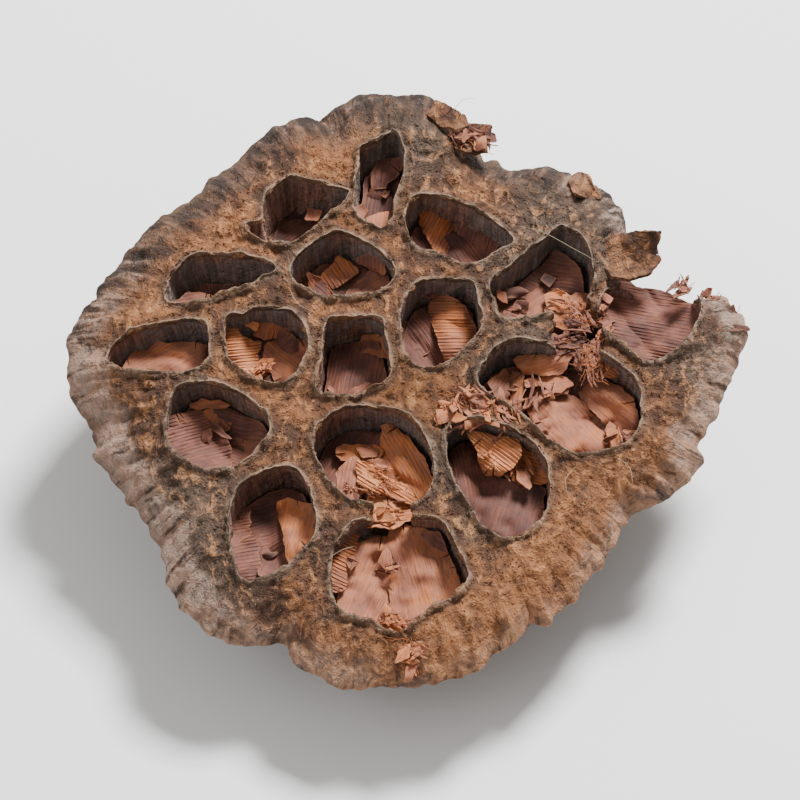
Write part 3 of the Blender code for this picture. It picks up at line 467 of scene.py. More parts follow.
# Painted highlight for a scrap's torn edges
SKIN_EDGE_HIGHLIGHT = (0.36, 0.16, 0.075)
FIBRE = (0.16, 0.055, 0.025), (0.42, 0.14, 0.055)
HAIR = (0.22, 0.17, 0.11), (0.46, 0.38, 0.27)
SKY = (1.0, 0.99, 0.97, 1.0)


# Measuring

TILT = math.radians(FACE_TILT)
SLOPE = np.array((0, math.cos(TILT), math.sin(TILT)))
OUTWARD = np.array((0, -math.sin(TILT), math.cos(TILT)))


def ease(low, high, value):
    """0 below low, 1 above high, and an even ease between them."""
    share = np.clip((value - low) / (high - low), 0.0, 1.0)
    return share * share * (3 - 2 * share)


def lumps(points, spacing, seed, angular=False):
    """Noise from -1 to 1 at these points; the spacing is one number or one for each axis."""
    at = points / np.asarray(spacing, dtype=float)
    cell = np.floor(at).astype(np.int64)
    part = at - cell
    if not angular:
        part = part * part * (3 - 2 * part)
    total = np.zeros(len(points))
    for corner in product((0, 1), repeat=3):
        key = ((cell + corner) * (374761393, 668265263, 1440662683)).sum(axis=1) + seed * 974634777
        key = ((key ^ (key >> 13)) * 1274126177) & 0xFFFFFFFF
        key = ((key ^ (key >> 16)) * 668265263) & 0xFFFFFFFF
        weight = np.prod(np.where(corner, part, 1 - part), axis=1)
        total += weight * ((key >> 4) / 134217728.0 - 1)
    return total


def rough(points, spacing, seed, layers=3):
    """Noise with finer and finer lumps laid over each other."""
    return sum(lumps(points, np.asarray(spacing) / 2.0 ** k, seed + 17 * k) / 2.0 ** k for k in range(layers))


def look_up(table, at, period=None):
    """The table's second column where its first is at these values."""
    return np.interp(at, *zip(*table), period=period)


def heading(way):
    """The direction of an angle in degrees, across and up."""
    return np.array((math.cos(math.radians(way)), math.sin(math.radians(way))))


def hump(value, middle, width):
    """1 at the middle, falling off evenly to both sides."""
    return np.exp(-((value - middle) / width) ** 2)


def on_face(across, up, drop):
    """Points given on the face, in the pod's frame."""
    flat = FACE_CENTRE + np.multiply.outer(across, (1.0, 0, 0)) + np.multiply.outer(up, SLOPE)
    return flat - np.multiply.outer(drop, OUTWARD)


def off_face(points):
    """Across, up and drop of points in the pod's frame."""
    away = points - FACE_CENTRE
    return away[:, 0], away @ SLOPE, -(away @ OUTWARD)


def rim_radius(angle):
    """The rim's radius; its far side reaches a little farther, as its edge droops out of sight."""
    away = np.sin(np.radians(angle))
    return look_up(RIM, angle, 360) + away * np.where(away > 0, FAR_GROWTH, NEAR_TRIM)


def even_radius(angle):
    """The rim's radius with its lobes and notches smoothed away."""
    return sum(rim_radius(angle + step) for step in range(-18, 19, 6)) / 7


def curve_through(points, steps, closed=True):
    """A smooth line through the points, with this many steps from one to the next."""
    corners = np.asarray(points, dtype=float)
    count = len(corners)
    line = []
    for i in range(count if closed else count - 1):
        numbers = [i - 1, i, i + 1, i + 2]
        numbers = [k % count for k in numbers] if closed else [min(max(k, 0), count - 1) for k in numbers]
        before, here, after, beyond = corners[numbers]
        t = np.arange(steps)[:, None] / steps
        line.append(
            0.5 * (2 * here + (after - before) * t + (2 * before - 5 * here + 4 * after - beyond) * t * t
                   + (3 * here - before - 3 * after + beyond) * t ** 3)
        )
    if not closed:
        line.append(corners[-1:])
    return np.concatenate(line)


def spaced(line, count):
    """This many evenly spaced points along a closed line."""
    closed = np.vstack([line, line[:1]])
    lengths = np.concatenate([[0], np.cumsum(np.linalg.norm(np.diff(closed, axis=0), axis=1))])
    wanted = lengths[-1] * np.arange(count) / count
    return np.stack([np.interp(wanted, lengths, closed[:, k]) for k in range(closed.shape[1])], axis=1)


def to_outline(points, outline):
    """How far outside a closed outline each point lies, and the number of its nearest side."""
    side = np.roll(outline, -1, axis=0) - outline
    away = points[:, None] - outline[None]
    share = np.clip((away * side).sum(axis=2) / (side * side).sum(axis=1), 0, 1)
    squared = ((away - share[..., None] * side) ** 2).sum(axis=2)
    nearest = squared.argmin(axis=1)
    distance = np.sqrt(squared[np.arange(len(points)), nearest])
    ahead = np.roll(outline, -1, axis=0)
    spans = (outline[:, 1] <= points[:, None, 1]) != (ahead[:, 1] <= points[:, None, 1])
    rise = np.where(side[:, 1] == 0, 1e-9, side[:, 1])
    crossing = outline[:, 0] + (points[:, None, 1] - outline[:, 1]) * side[:, 0] / rise
    inside = (spans & (points[:, None, 0] < crossing)).sum(axis=1) % 2 == 1
    return np.where(inside, -distance, distance), nearest + share[np.arange(len(points)), nearest]


def outward_of(line):
    """The direction out of a closed anticlockwise line at each of its points."""
    ahead = np.roll(line, -1, axis=0) - np.roll(line, 1, axis=0)
    return np.stack([ahead[:, 1], -ahead[:, 0]], axis=1) / np.linalg.norm(ahead, axis=1)[:, None]


def signed_area(outline):
    """The area inside a closed outline, negative where it runs clockwise."""
    ahead = np.roll(outline, -1, axis=0)
    return 0.5 * (outline[:, 0] * ahead[:, 1] - outline[:, 1] * ahead[:, 0]).sum()


class Pit:
    """A seed pit: its outline on the face, and how it narrows and leans on its way down."""

    def __init__(self, points):
        self.outline = spaced(curve_through(points, 12), OUTLINE_POINTS)
        self.centre = self.outline.mean(axis=0)
        self.length = np.linalg.norm(np.diff(self.outline, axis=0), axis=1).mean()
        far = np.linalg.norm(self.centre)
        self.aside = self.centre / far * min(far / MEAN_RADIUS, 1.0)
        share = far / rim_radius(math.degrees(math.atan2(self.centre[1], self.centre[0])))
        self.depth = min(PIT_DEPTH, look_up(PROFILE[:RIM_ROW:-1], min(share + 0.10, 0.98)) - WALL)
        self.low, high = self.box(MAP_MARGIN)
        self.shape = np.ceil((high - self.low) / MAP_STEP).astype(int)
        spots = np.stack(np.meshgrid(*map(np.arange, self.shape), indexing="ij"), axis=-1).reshape(-1, 2)
        gap, along = to_outline(self.low + spots * MAP_STEP, self.outline)
        self.gaps = gap.reshape(self.shape)
        self.alongs = (along * self.length).reshape(self.shape)

    def box(self, margin):
        """The corners of the outline's box, this much wider all round."""
        return self.outline.min(axis=0) - margin, self.outline.max(axis=0) + margin

    def near(self, across, up, margin=MAP_MARGIN):
        """Whether points lie within this margin of the outline's box."""
        low, high = self.box(margin)
        return (across > low[0]) & (across < high[0]) & (up > low[1]) & (up < high[1])

    def wall_gap(self, across, up, drop):
        """How far outside the pit's wall each point lies, and how far along it, in millimetres."""
        share = look_up(PIT_PROFILE, drop / self.depth)
        lean = PIT_LEAN * np.maximum(drop, 0)
        at = np.stack([across + self.aside[0] * lean, up + self.aside[1] * lean], axis=1)
        spot = (self.centre + (at - self.centre) / share[:, None] - self.low) / MAP_STEP
        spot = np.clip(spot, 0, self.shape - 1.001)
        cell = spot.astype(int)
        part = spot - cell
        gap = sum(
            self.gaps[cell[:, 0] + i, cell[:, 1] + j]
            * (part[:, 0] if i else 1 - part[:, 0]) * (part[:, 1] if j else 1 - part[:, 1])
            for i, j in product((0, 1), repeat=2)
        )
        flat = np.stack([across, up, drop * 0.25], axis=1)
        uneven = 0.30 * lumps(flat, 2.8, 71) + 0.14 * lumps(flat, 1.1, 72)
        return gap * share + uneven, self.alongs[cell[:, 0], cell[:, 1]]

    def ring(self, drop, inset):
        """The pit's wall at this drop, drawn in by the inset, as points on the face."""
        share = look_up(PIT_PROFILE, drop / self.depth)
        wide = np.linalg.norm(self.outline - self.centre, axis=1).min()
        middle = self.centre - self.aside * PIT_LEAN * max(drop, 0)
        return middle + (self.outline - self.centre) * share * (1 - inset / wide)


def all_pits():
    """Every seed pit by its number."""
    return {name: Pit(points) for name, points in PITS.items()}


# The pod

def swell_drop(share):
    """The drop of the uncut face at this share of the rim's radius."""
    return look_up([(0.0, FACE_TOP)] + PROFILE[:RIM_ROW + 1], share)


def body_mesh():
    """The pod before its pits are cut, as points and four-sided faces."""
    turn = np.radians(np.arange(BODY_SPOKES) * 360 / BODY_SPOKES - 180)
    angle = np.degrees(turn)
    at = np.stack([np.cos(turn), np.sin(turn)], axis=1)
    full, even = rim_radius(angle), even_radius(angle)

    def round_it(scale, level):
        """Noise round the pod, at one level or at one for each spoke."""
        levels = np.broadcast_to(level, BODY_SPOKES)
        return np.array([noise.noise(Vector((x * scale, y * scale, z))) for (x, y), z in zip(at, levels)])

    ruffle, ragged = RUFFLE * round_it(2.6, 4.0), RAGGED * round_it(21.0, 0.0)
    rings = []
    for share, drop in curve_through(PROFILE, PROFILE_STEPS, closed=False):
        lobed = ease(0.12, 0.6, share)
        to_rim = ease(0.68, 1.0, share)
        drops = drop + (ruffle + FURROW * (even - full) + WRINKLE * round_it(9.0, share * 5.0)) * to_rim
        below = ease(5.0, 12.0, drops) * ease(0.15, 0.4, share)
        sway = 2 * round_it(1.0, drops / 20)
        radius = (full * lobed + SCAR_RADIUS / PROFILE[-1][0] * (1 - lobed)) * share
        radius = radius + ragged * ease(0.93, 1.0, share) + below * RIB_HEIGHT * np.cos(RIBS * turn + sway)
        sink = np.clip(drops / POD_DEPTH, 0, 1)
        lie = TILT * (1 - sink)
        x, y = radius * at[:, 0], radius * at[:, 1]
        level = np.stack([x, y * np.cos(lie), y * np.sin(lie)], axis=1)
        out = np.stack([0 * lie, -np.sin(lie), np.cos(lie)], axis=1) * np.maximum(-drops, 0)[:, None]
        rings.append(np.multiply.outer(1 - sink, FACE_CENTRE) + level + out)
    rings.append(np.stack([SCAR_RADIUS * at[:, 0], SCAR_RADIUS * at[:, 1], 0 * turn], axis=1))
    count = len(rings)
    points = np.vstack([*rings, on_face(0.0, 0.0, FACE_TOP)[None], [(0.0, 0.0, 0.0)]])
    here = np.arange(BODY_SPOKES)
    ahead = (here + 1) % BODY_SPOKES
    quads = np.vstack([
        np.stack([k * BODY_SPOKES + here, (k + 1) * BODY_SPOKES + here, (k + 1) * BODY_SPOKES + ahead,
                  k * BODY_SPOKES + ahead], axis=1)
        for k in range(count - 1)
    ])
    last = (count - 1) * BODY_SPOKES
    top = np.stack([here, ahead, np.full_like(here, len(points) - 2)], axis=1)
    bottom = np.stack([last + ahead, last + here, np.full_like(here, len(points) - 1)], axis=1)
    return points, quads, np.vstack([top, bottom])


def smooth_max(first, second, width):
    """The larger of two fields, with a fillet of about this width where they meet."""
    near = np.maximum(width - np.abs(first - second), 0) / width
    return np.maximum(first, second) + near * near * width / 4


class Field:
    """The distance from the pod's surface, held on an even grid of points."""

    def __init__(self, points, quads, triangles, step):
        self.step = step
        self.transform = openvdb.createLinearTransform(voxelSize=step)
        grid = openvdb.FloatGrid.createLevelSetFromPolygons(
            points.astype(np.float32), triangles.astype(np.uint32), quads.astype(np.uint32), self.transform,
            LEVELS)
        self.background = grid.background
        self.low, high = (np.array(corner) for corner in grid.evalActiveVoxelBoundingBox())
        self.low -= 3
        self.values = np.full(tuple(high + 4 - self.low), self.background, dtype=np.float32)
        grid.copyToArray(self.values, ijk=tuple(int(k) for k in self.low))

    def change(self, low, high, rule):
        """Puts rule(values, across, up, drop) in the box between two corners, near the surface."""
        first = np.clip(np.floor(low / self.step).astype(int) - self.low, 0, self.values.shape)
        last = np.clip(np.ceil(high / self.step).astype(int) - self.low + 1, 0, self.values.shape)
        box = tuple(slice(a, b) for a, b in zip(first, last))
        part = self.values[box]
        spots = np.argwhere(np.abs(part) < self.background)
        inner = np.argwhere(part <= -self.background)
        for chosen in (spots, inner):
            if len(chosen):
                place = tuple(chosen.T)
                points = (chosen + first + self.low) * self.step
                part[place] = rule(part[place], *off_face(points))
        self.values[box] = part

    def mesh(self):
        """The surface as points and four-sided faces."""
        grid = openvdb.FloatGrid(self.background)
        grid.transform = self.transform
        grid.copyFromArray(self.values, ijk=tuple(int(k) for k in self.low))
        points, _, quads = grid.convertToPolygons(isovalue=0.0, adaptivity=0.0)
        return points.astype(float), quads.astype(np.int64)


def face_box(low, high, top, bottom):
    """The box in the pod's frame round a block of the face."""
    corners = np.array(list(product((low[0], high[0]), (low[1], high[1]), (top, bottom))))
    points = on_face(*corners.T)
    return points.min(axis=0), points.max(axis=0)


def pit_rims(pits, across, up):
    """How far each point of the face lies outside the nearest pit."""
    gap = np.full(len(across), FAR_OFF)
    for pit in pits.values():
        near = pit.near(across, up)
        if near.any():
            here, _ = pit.wall_gap(across[near], up[near], np.zeros(near.sum()))
            gap[near] = np.minimum(gap[near], here)
    return gap


def carve_pod(pits, sizes):
    """The pod's distance field with its lips raised and its pits and breaks cut."""
    field = Field(*body_mesh(), sizes.grain / METRES)
    lip, web = sizes.lip_height / METRES, sizes.web_sink / METRES

    def raise_lips(values, across, up, drop):
        gap = pit_rims(pits, across, up) - PIT_EDGE
        mound = 0.5 * (1 - ease(0.8, 2.6, gap)) + lip * hump(gap, 0.22, 0.30)
        return values - (mound - web * hump(gap, 1.1, 0.45)) * (1 - ease(3.0, 5.0, drop))

    field.change(*face_box((-60, -58), (62, 62), -3.5, 5.0), raise_lips)
    for pit in pits.values():
        def cut(values, across, up, drop, pit=pit):
            gap, _ = pit.wall_gap(across, up, drop)
            return smooth_max(values, -smooth_max(gap - PIT_EDGE, drop - pit.depth, 2.0), 0.3)

        field.change(*face_box(*pit.box(4), -5.0, pit.depth + 1.5), cut)
    for across_at, up_at, long, wide, turn, depth in BREAKS:
        def snap(values, across, up, drop):
            c, s = heading(turn)
            x, y = across - across_at, up - up_at
            reach = np.hypot((x * c + y * s) / long, (y * c - x * s) / wide)
            gap = (reach - 1) * min(long, wide) + 0.7 * lumps(np.stack([across, up, drop], axis=1), 1.8, 5)
            return smooth_max(values, -smooth_max(gap, drop - depth, 2.0), 0.4)

        centre, size = np.array((across_at, up_at)), max(long, wide) + 2
        field.change(*face_box(centre - size, centre + size, -5.0, depth + 1), snap)
    return field


def largest_body(points, quads):
    """The faces of the largest connected body, with its own points."""
    label = np.arange(len(points))
    while True:
        lowest = label[quads].min(axis=1)
        before = label.copy()
        for k in range(4):
            np.minimum.at(label, quads[:, k], lowest)
        label = label[label]
        if (label == before).all():
            break
    names, counts = np.unique(label, return_counts=True)
    keep = label == names[counts.argmax()]
    number = np.cumsum(keep) - 1
    return points[keep], number[quads[keep[quads[:, 0]]]]


def normals_of(points, quads):
    """The normal at each point, from the faces round it."""
    made = np.zeros_like(points)
    cross = np.cross(points[quads[:, 2]] - points[quads[:, 0]], points[quads[:, 3]] - points[quads[:, 1]])
    for k in range(4):
        np.add.at(made, quads[:, k], cross)
    return made / np.maximum(np.linalg.norm(made, axis=1), 1e-12)[:, None]


def pod_marks(points, pits):
    """What lies at each point of the pod: wall, lip, rim, underside, and the run of its grain."""
    across, up, drop = off_face(points)
    angle = np.arctan2(up, across)
    radius = np.hypot(across, up)
    share = radius / rim_radius(np.degrees(angle))
    below = drop - swell_drop(np.minimum(share, 1.0))
    gap = np.full(len(points), FAR_OFF)
    along = np.zeros(len(points))
    for pit in pits.values():
        near = pit.near(across, up)
        here, run = pit.wall_gap(across[near], up[near], drop[near])
        closer = here < gap[near]
        spots = np.flatnonzero(near)[closer]
        gap[spots] = here[closer]
        along[spots] = run[closer]
    wall = ease(-0.2, 0.5, below) * (1 - ease(0.3, 1.0, gap))
    under = ease(3.5, 7.5, drop) * (1 - wall)
    top = (1 - ease(0.2, 0.9, below)) * (1 - under)
    lip = 0.5 * np.maximum(hump(gap, 0.5, 0.6) * top, wall * np.exp(-np.maximum(below, 0) / 0.9))
    tint = sum(tone * hump(np.hypot(across - x, up - y), 0, size) for x, y, size, tone in FACE_TONES)
    # The rim's marks by angle: gold, its own golden colour raised as painted light on the near, lower rim,
    # and pale, all painted light and shade
    gold, pale = (look_up(table, np.degrees(angle), 360) for table in (RIM_GOLD_AND_LIGHT, RIM_PAINTED_LIGHT_AND_SHADE))
    grain = np.stack([angle * MEAN_RADIUS, radius, drop], axis=1)
    grain[wall > 0.5] = np.stack([along, drop, 0 * drop], axis=1)[wall > 0.5]
    # The mark of the band just outside each pit, where the web sinks; it carries painted shade
    return {"wall": wall, "lip": lip, "seam": hump(gap, 1.15, 0.6) * top,
            "rim": ease(0.74, 1.01, share) * (1 - wall), "under": under, "gold": gold, "pale": pale,
            "tint": np.clip(tint, -1, 1), "grain": grain, "share": share, "drop": drop}


def weather(points, quads, marks, sizes):
    """Moves the pod's points out or in: corky webs, furrowed rim, ridged walls, ribbed underside."""
    cork, crease = sizes.cork_height / METRES, sizes.furrow_depth / METRES
    wall, under, share, drop, grain = (marks[name] for name in ("wall", "under", "share", "drop", "grain"))
    top = (1 - wall) * (1 - under)
    ridges = 0.5 - 1.7 * np.abs(lumps(points, (2.2, 1.7, 1.7), 9))
    outer = ease(0.78, 0.95, share)
    bumps = rough(points, 2.6, 3) + 0.8 * ridges + 0.6 * lumps(points, 0.9, 8)
    push = top * cork * bumps * (1 - 0.55 * outer)
    push += top * rough(points, 6.0, 21, 2) * (0.28 + 0.4 * ease(0.55, 0.8, share) - 0.25 * outer)
    to_rim = ease(0.72, 0.95, share) * (1 - wall) * (1 - ease(9, 14, drop))
    edge = ease(0.90, 1.0, share) * (1 - ease(6.5, 9.0, drop))
    furrow = rough(grain, (4.6, 11, 40), 31, 3) * (1 - 0.85 * edge)
    furrow += 0.8 * rough(grain, (1.5, 8, 20), 33, 2) * (1 - 0.7 * edge)
    push += to_rim * crease * furrow
    push += edge * (0.26 * rough(points, 4.6, 44, 2) + 0.26 * lumps(points, 1.2, 47, True))
    push += wall * (0.22 * lumps(grain, (1.3, 9, 9), 51) + 0.14 * rough(points, 1.6, 52, 2))
    push += under * (0.28 * lumps(grain, (1.8, 16, 16), 61) + 0.22 * rough(points, 2.2, 62, 2))
    moved = points + normals_of(points, quads) * push[:, None]
    moved[:, 2] = np.maximum(moved[:, 2], 0.0)
    return moved


# Meshes

def new_mesh_object(name, points, faces, material, smooth=True):
    """An object in metres from points in millimetres."""
    mesh = bpy.data.meshes.new(name)
    mesh.from_pydata((np.asarray(points) * METRES).tolist(), [], [list(map(int, face)) for face in faces])
    mesh.update()
    if smooth:
        mesh.shade_smooth()
    mesh.materials.append(material)
    made = bpy.data.objects.new(name, mesh)
    bpy.context.scene.collection.objects.link(made)
    return made


def points_of(mesh):
    """The mesh's points, in millimetres."""
    flat = np.empty(len(mesh.vertices) * 3)
    mesh.vertices.foreach_get("co", flat)
    return flat.reshape(-1, 3) / METRES


def tube_faces(count, sides, closed=False):
    """The faces of a tube of this many rings, with a cap at each end where it isn't closed."""
    faces = []
    for i, k in product(range(count if closed else count - 1), range(sides)):
        here, ahead, j = i * sides, (i + 1) % count * sides, (k + 1) % sides
        faces.append((here + k, here + j, ahead + j, ahead + k))
    if not closed:
        faces += [tuple(range(sides))[::-1], tuple(range((count - 1) * sides, count * sides))]
    return faces


def add_marks(mesh, marks):
    """Stores numbers and vectors on the mesh's points under their names."""
    for name, values in marks.items():
        kind, slot = ("FLOAT_VECTOR", "vector") if values.ndim == 2 else ("FLOAT", "value")
        mesh.attributes.new(name, kind, "POINT").data.foreach_set(slot, values.astype(np.float32).ravel())


def apply_modifiers(made):
    """Turns the object's mesh into what its modifiers make of it, and takes them off."""
    finished = bpy.data.meshes.new_from_object(made.evaluated_get(bpy.context.evaluated_depsgraph_get()))
    made.modifiers.clear()
    before = made.data
    made.data = finished
    finished.name = made.name
    bpy.data.meshes.remove(before)
    return made


def declare(made, nodes):
    """Says what a finished piece rides on, and hides the imported parts that it stands for."""
    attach(made, "root")
    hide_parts(*nodes)


# Scraps

def torn_outline(outline, tear_every, seed, seen):
    """The outline with ragged edges, and a narrow tear every so many millimetres."""
    sides = np.linalg.norm(np.diff(np.vstack([outline, outline[:1]]), axis=0), axis=1)
    line = spaced(np.array(outline, dtype=float), int(sides.sum() / TORN_STEP) + 8)
    if signed_area(line) < 0:
        line = line[::-1]
    aside = outward_of(line)
    flat = np.column_stack([line, np.full(len(line), seed * 3.7)])
    torn = sum(height * lumps(flat, spacing, seed + more, True)
               for height, spacing, more in ((0.8, 2.6, 0), (0.55, 0.9, 1), (0.2, 0.4, 8)))
    size = min(1.0, sides.sum() / 24)
    line = line + aside * ((0.25 * size + 0.55 * torn * (0.25 + 0.75 * size)) * (1 if seen else 0.3))[:, None]
    if not seen or size < 0.7:
        return line
    chance = np.random.default_rng(seed)
    starts = {int(chance.integers(len(line))): chance.uniform(0.8, 3.0)
              for _ in range(int(sides.sum() / tear_every))}
    with_tears = []
    for k, point in enumerate(line):
        with_tears.append(point)
        if k in starts:
            slant = (line[(k + 3) % len(line)] - point) * chance.uniform(-1.0, 1.6)
            with_tears.append(point - aside[k] * starts[k] + slant)
    return np.array(with_tears)


def scrap_sheet(outline, drop, climb_way, climb, curl_way, curl, rib_way, rib, tone, tear_every=9, *, seed,
                seen=True):
    """A torn, ribbed, curled sheet as points, faces, map, tones and closeness to its torn edge."""
    line = torn_outline(outline, tear_every, seed, seen)
    centre = line.mean(axis=0)
    along = heading(rib_way)
    cross = np.array((-along[1], along[0]))
    local = np.stack([(line - centre) @ cross, (line - centre) @ along], axis=1)
    steps = np.array((0.24, 0.5) if rib > 0.05 else (0.4, 0.4))
    low = local.min(axis=0)
    count = np.ceil((local.max(axis=0) - low) / steps).astype(int) + 1
    inner = low + np.stack(np.meshgrid(*map(np.arange, count), indexing="ij"), axis=-1).reshape(-1, 2) * steps
    inner = inner[to_outline(inner, local)[0] < -0.14]
    corners = [Vector(point) for point in np.vstack([local, inner])]
    spots, _, faces, *_ = delaunay_2d_cdt(corners, [], [list(range(len(local)))], 1, 1e-4)
    spots = np.array([tuple(spot) for spot in spots])
    faces = np.array([face for face in faces if len(face) == 3])
    first, second = (spots[faces[:, k]] - spots[faces[:, 0]] for k in (1, 2))
    turned = first[:, 0] * second[:, 1] < first[:, 1] * second[:, 0]
    faces[turned] = faces[turned][:, ::-1]
    gap, _ = to_outline(spots, local)
    at = centre + spots[:, :1] * cross + spots[:, 1:] * along
    off = at - centre
    flat = np.column_stack([at, np.full(len(at), seed * 5.3)])
    bend = 1.1 * lumps(flat, 5.0, seed + 2) + 0.4 * lumps(flat, 2.2, seed + 3)
    bend += 0.55 * max(0.0, 1 - len(line) / 60) * lumps(flat, 1.1, seed + 9, True)
    crease = 0.7 * (1 - np.abs(lumps(flat, 5.0, seed + 4, True)) * 3).clip(0)
    lifted = 1.0 * np.exp(gap / 0.9) * lumps(flat, 3.0, seed + 5)
    run = spots[:, 0] + 0.25 * lumps(flat, 5.0, seed + 6)
    drops = drop - climb * (off @ heading(climb_way)) / 10 - curl * (off @ heading(curl_way)) ** 2 / 100
    drops = drops + bend + crease + lifted + rib * np.cos(2 * math.pi * run / RIB_PITCH)
    up = at[:, 1] + (SEEN_SHIFT * drops if seen else 0)
    return {
        "points": on_face(at[:, 0], up, drops),
        "faces": faces,
        "map": np.stack([run + seed * 10 * RIB_PITCH, spots[:, 1] + seed * 7.3], axis=1),
        "tone": tone + 0.12 * rough(flat, 4.0, seed + 7, 2),
        "edge": np.exp(np.minimum(gap, 0) / 0.3),
        "rib": np.full(len(at), min(1.0, 0.18 + (rib / 0.095) ** 2)),
    }


def strewn(spread, chance):
    """A chance spot within this distance."""
    turn, far = chance.uniform(0, 2 * math.pi), spread * math.sqrt(chance.uniform(0, 1))
    return far * math.cos(turn), far * math.sin(turn)


def flake_sheets(area, seed):
    """Small torn flakes strewn round a spot, each curled and tilted its own way."""
    across, up, spread, drop, count, tone = area
    chance = np.random.default_rng(seed)
    sheets = []
    for k in range(count):
        x, y = strewn(spread, chance)
        long, wide = chance.uniform(1.2, 2.8), chance.uniform(0.5, 1.5)
        lie = chance.uniform(0, math.pi)
        corners = []
        for step in range(5):
            at = 2 * math.pi * (step + chance.uniform(-0.4, 0.4)) / 5
            a = long * math.cos(at) * chance.uniform(0.5, 1.3)
            b = wide * math.sin(at) * chance.uniform(0.5, 1.3)
            corners.append((across + x + a * math.cos(lie) - b * math.sin(lie),
                            up + y + a * math.sin(lie) + b * math.cos(lie)))
        sheets.append(scrap_sheet(
            corners, drop + chance.uniform(-0.9, 0.9), chance.uniform(0, 360), chance.uniform(0, 6),
            chance.uniform(0, 360), chance.uniform(-16, 16), math.degrees(lie), 0.05,
            tone + chance.uniform(-0.28, 0.02), seed=seed + k))
    return sheets


def shred_sheets(area, seed):
    """Long pointed slivers strewn round a spot, bowed and rolled, most of them lying much one way."""
    across, up, spread, drop, count, tone = area
    chance = np.random.default_rng(seed)
    main_way = chance.uniform(0, math.pi)
    step = np.linspace(-1, 1, 9)
    row = np.arange(8)[:, None] * 3
    faces = np.vstack([row + (0, 3, 1), row + (1, 3, 4), row + (1, 4, 2), row + (2, 4, 5)])
    sheets = []
    for k in range(round(1.6 * count)):
        x, y = strewn(spread, chance)
        way = main_way + chance.normal(0, 0.32)
        long, wide = chance.uniform(0.8, 2.8) * min(1.0, 0.3 + spread / 5), chance.uniform(0.05, 0.36)
        bow, arch, tilt = chance.uniform(-0.5, 0.5), chance.uniform(-0.5, 0.4), chance.uniform(-0.35, 0.35)
        roll = chance.uniform(-0.5, 0.5) + chance.uniform(-0.6, 0.6) * step
        c, s = math.cos(way), math.sin(way)
        middle = np.stack([across + x + c * step * long - s * bow * step ** 2,
                           up + y + s * step * long + c * bow * step ** 2,
                           drop + 0.5 * chance.uniform(-1, 1) + tilt * step - arch * step ** 2
                           + 0.12 * np.sin(7 * step + k)], axis=1)
        side = np.stack([-s * np.cos(roll), c * np.cos(roll), np.sin(roll)], axis=1)
        width = wide * (1 - np.abs(step) ** 2.4) * (1 + 0.25 * np.sin(9 * step + 2 * k)) + 0.03
        spots = np.stack([middle + side * width[:, None] * way_out for way_out in (-1, 0, 1)], axis=1)
        spots[:, 1, 2] -= 0.3 * width
        spots = spots.reshape(-1, 3)
        run = np.multiply.outer(width, (-1.0, 0, 1.0)).ravel()
        sheets.append({
            "points": on_face(spots[:, 0], spots[:, 1] + SEEN_SHIFT * spots[:, 2], spots[:, 2]),
            "faces": faces,
            "map": np.stack([run + 3.1 * k, np.repeat(step * long, 3)], axis=1),
            "tone": np.full(27, tone + chance.uniform(-0.32, 0.04)),
            "edge": np.tile((0.6, 0.0, 0.6), 9),
            "rib": np.zeros(27),
        })
    return sheets


def lining_sheet(pit, name, seed):
    """The skin that lines a pit's bottom and creeps up its wall."""
    drop = LINING_DROP.get(name, LINING_DEPTH)
    ring = pit.ring(drop, 0.45)[::4]
    return scrap_sheet([tuple(point) for point in ring], min(drop, pit.depth * 0.8), 90, 0.5, 30, 1.5,
                       40 * seed, 0.07, LINING_TONE, seed=seed, seen=False)


def join_sheets(name, sheets, material, thickness):
    """One object of several sheets, each given its thickness."""
    joined = {mark: np.concatenate([sheet[mark] for sheet in sheets])
              for mark in ("points", "map", "tone", "edge", "rib")}
    starts = np.cumsum([0] + [len(sheet["points"]) for sheet in sheets])
    faces = np.vstack([sheet["faces"] + start for sheet, start in zip(sheets, starts)])
    made = new_mesh_object(name, joined["points"], faces, material)
    mesh = made.data
    add_marks(mesh, {mark: joined[mark] for mark in ("tone", "edge", "rib")})
    corners = np.empty(len(mesh.loops), dtype=np.int64)
    mesh.loops.foreach_get("vertex_index", corners)
    mesh.uv_layers.new(name="grain").data.foreach_set("uv", joined["map"][corners].astype(np.float32).ravel())
    solid = made.modifiers.new("thickness", "SOLIDIFY")
    solid.thickness = thickness
    solid.offset = 0
    apply_modifiers(made)
    made.data.set_sharp_from_angle(angle=math.radians(SCRAP_CREASE))
    return made


# Node trees

class Signal:
    """A number, vector or colour in a node tree; the usual signs add Math nodes."""

    def __init__(self, nodes, socket):
        self.nodes = nodes
        self.socket = socket

    def math(self, operation, first, second):
        return self.nodes.add("ShaderNodeMath", {"operation": operation}, {0: first, 1: second})

    def __add__(self, other):
        return self.math("ADD", self, other)

    __radd__ = __add__

    def __sub__(self, other):
        return self.math("SUBTRACT", self, other)

    def __rsub__(self, other):
        return self.math("SUBTRACT", other, self)

    def __mul__(self, other):
        return self.math("MULTIPLY", self, other)

    __rmul__ = __mul__

    def output(self, name):
        """Another output of the same node."""
        return Signal(self.nodes, self.socket.node.outputs[name])


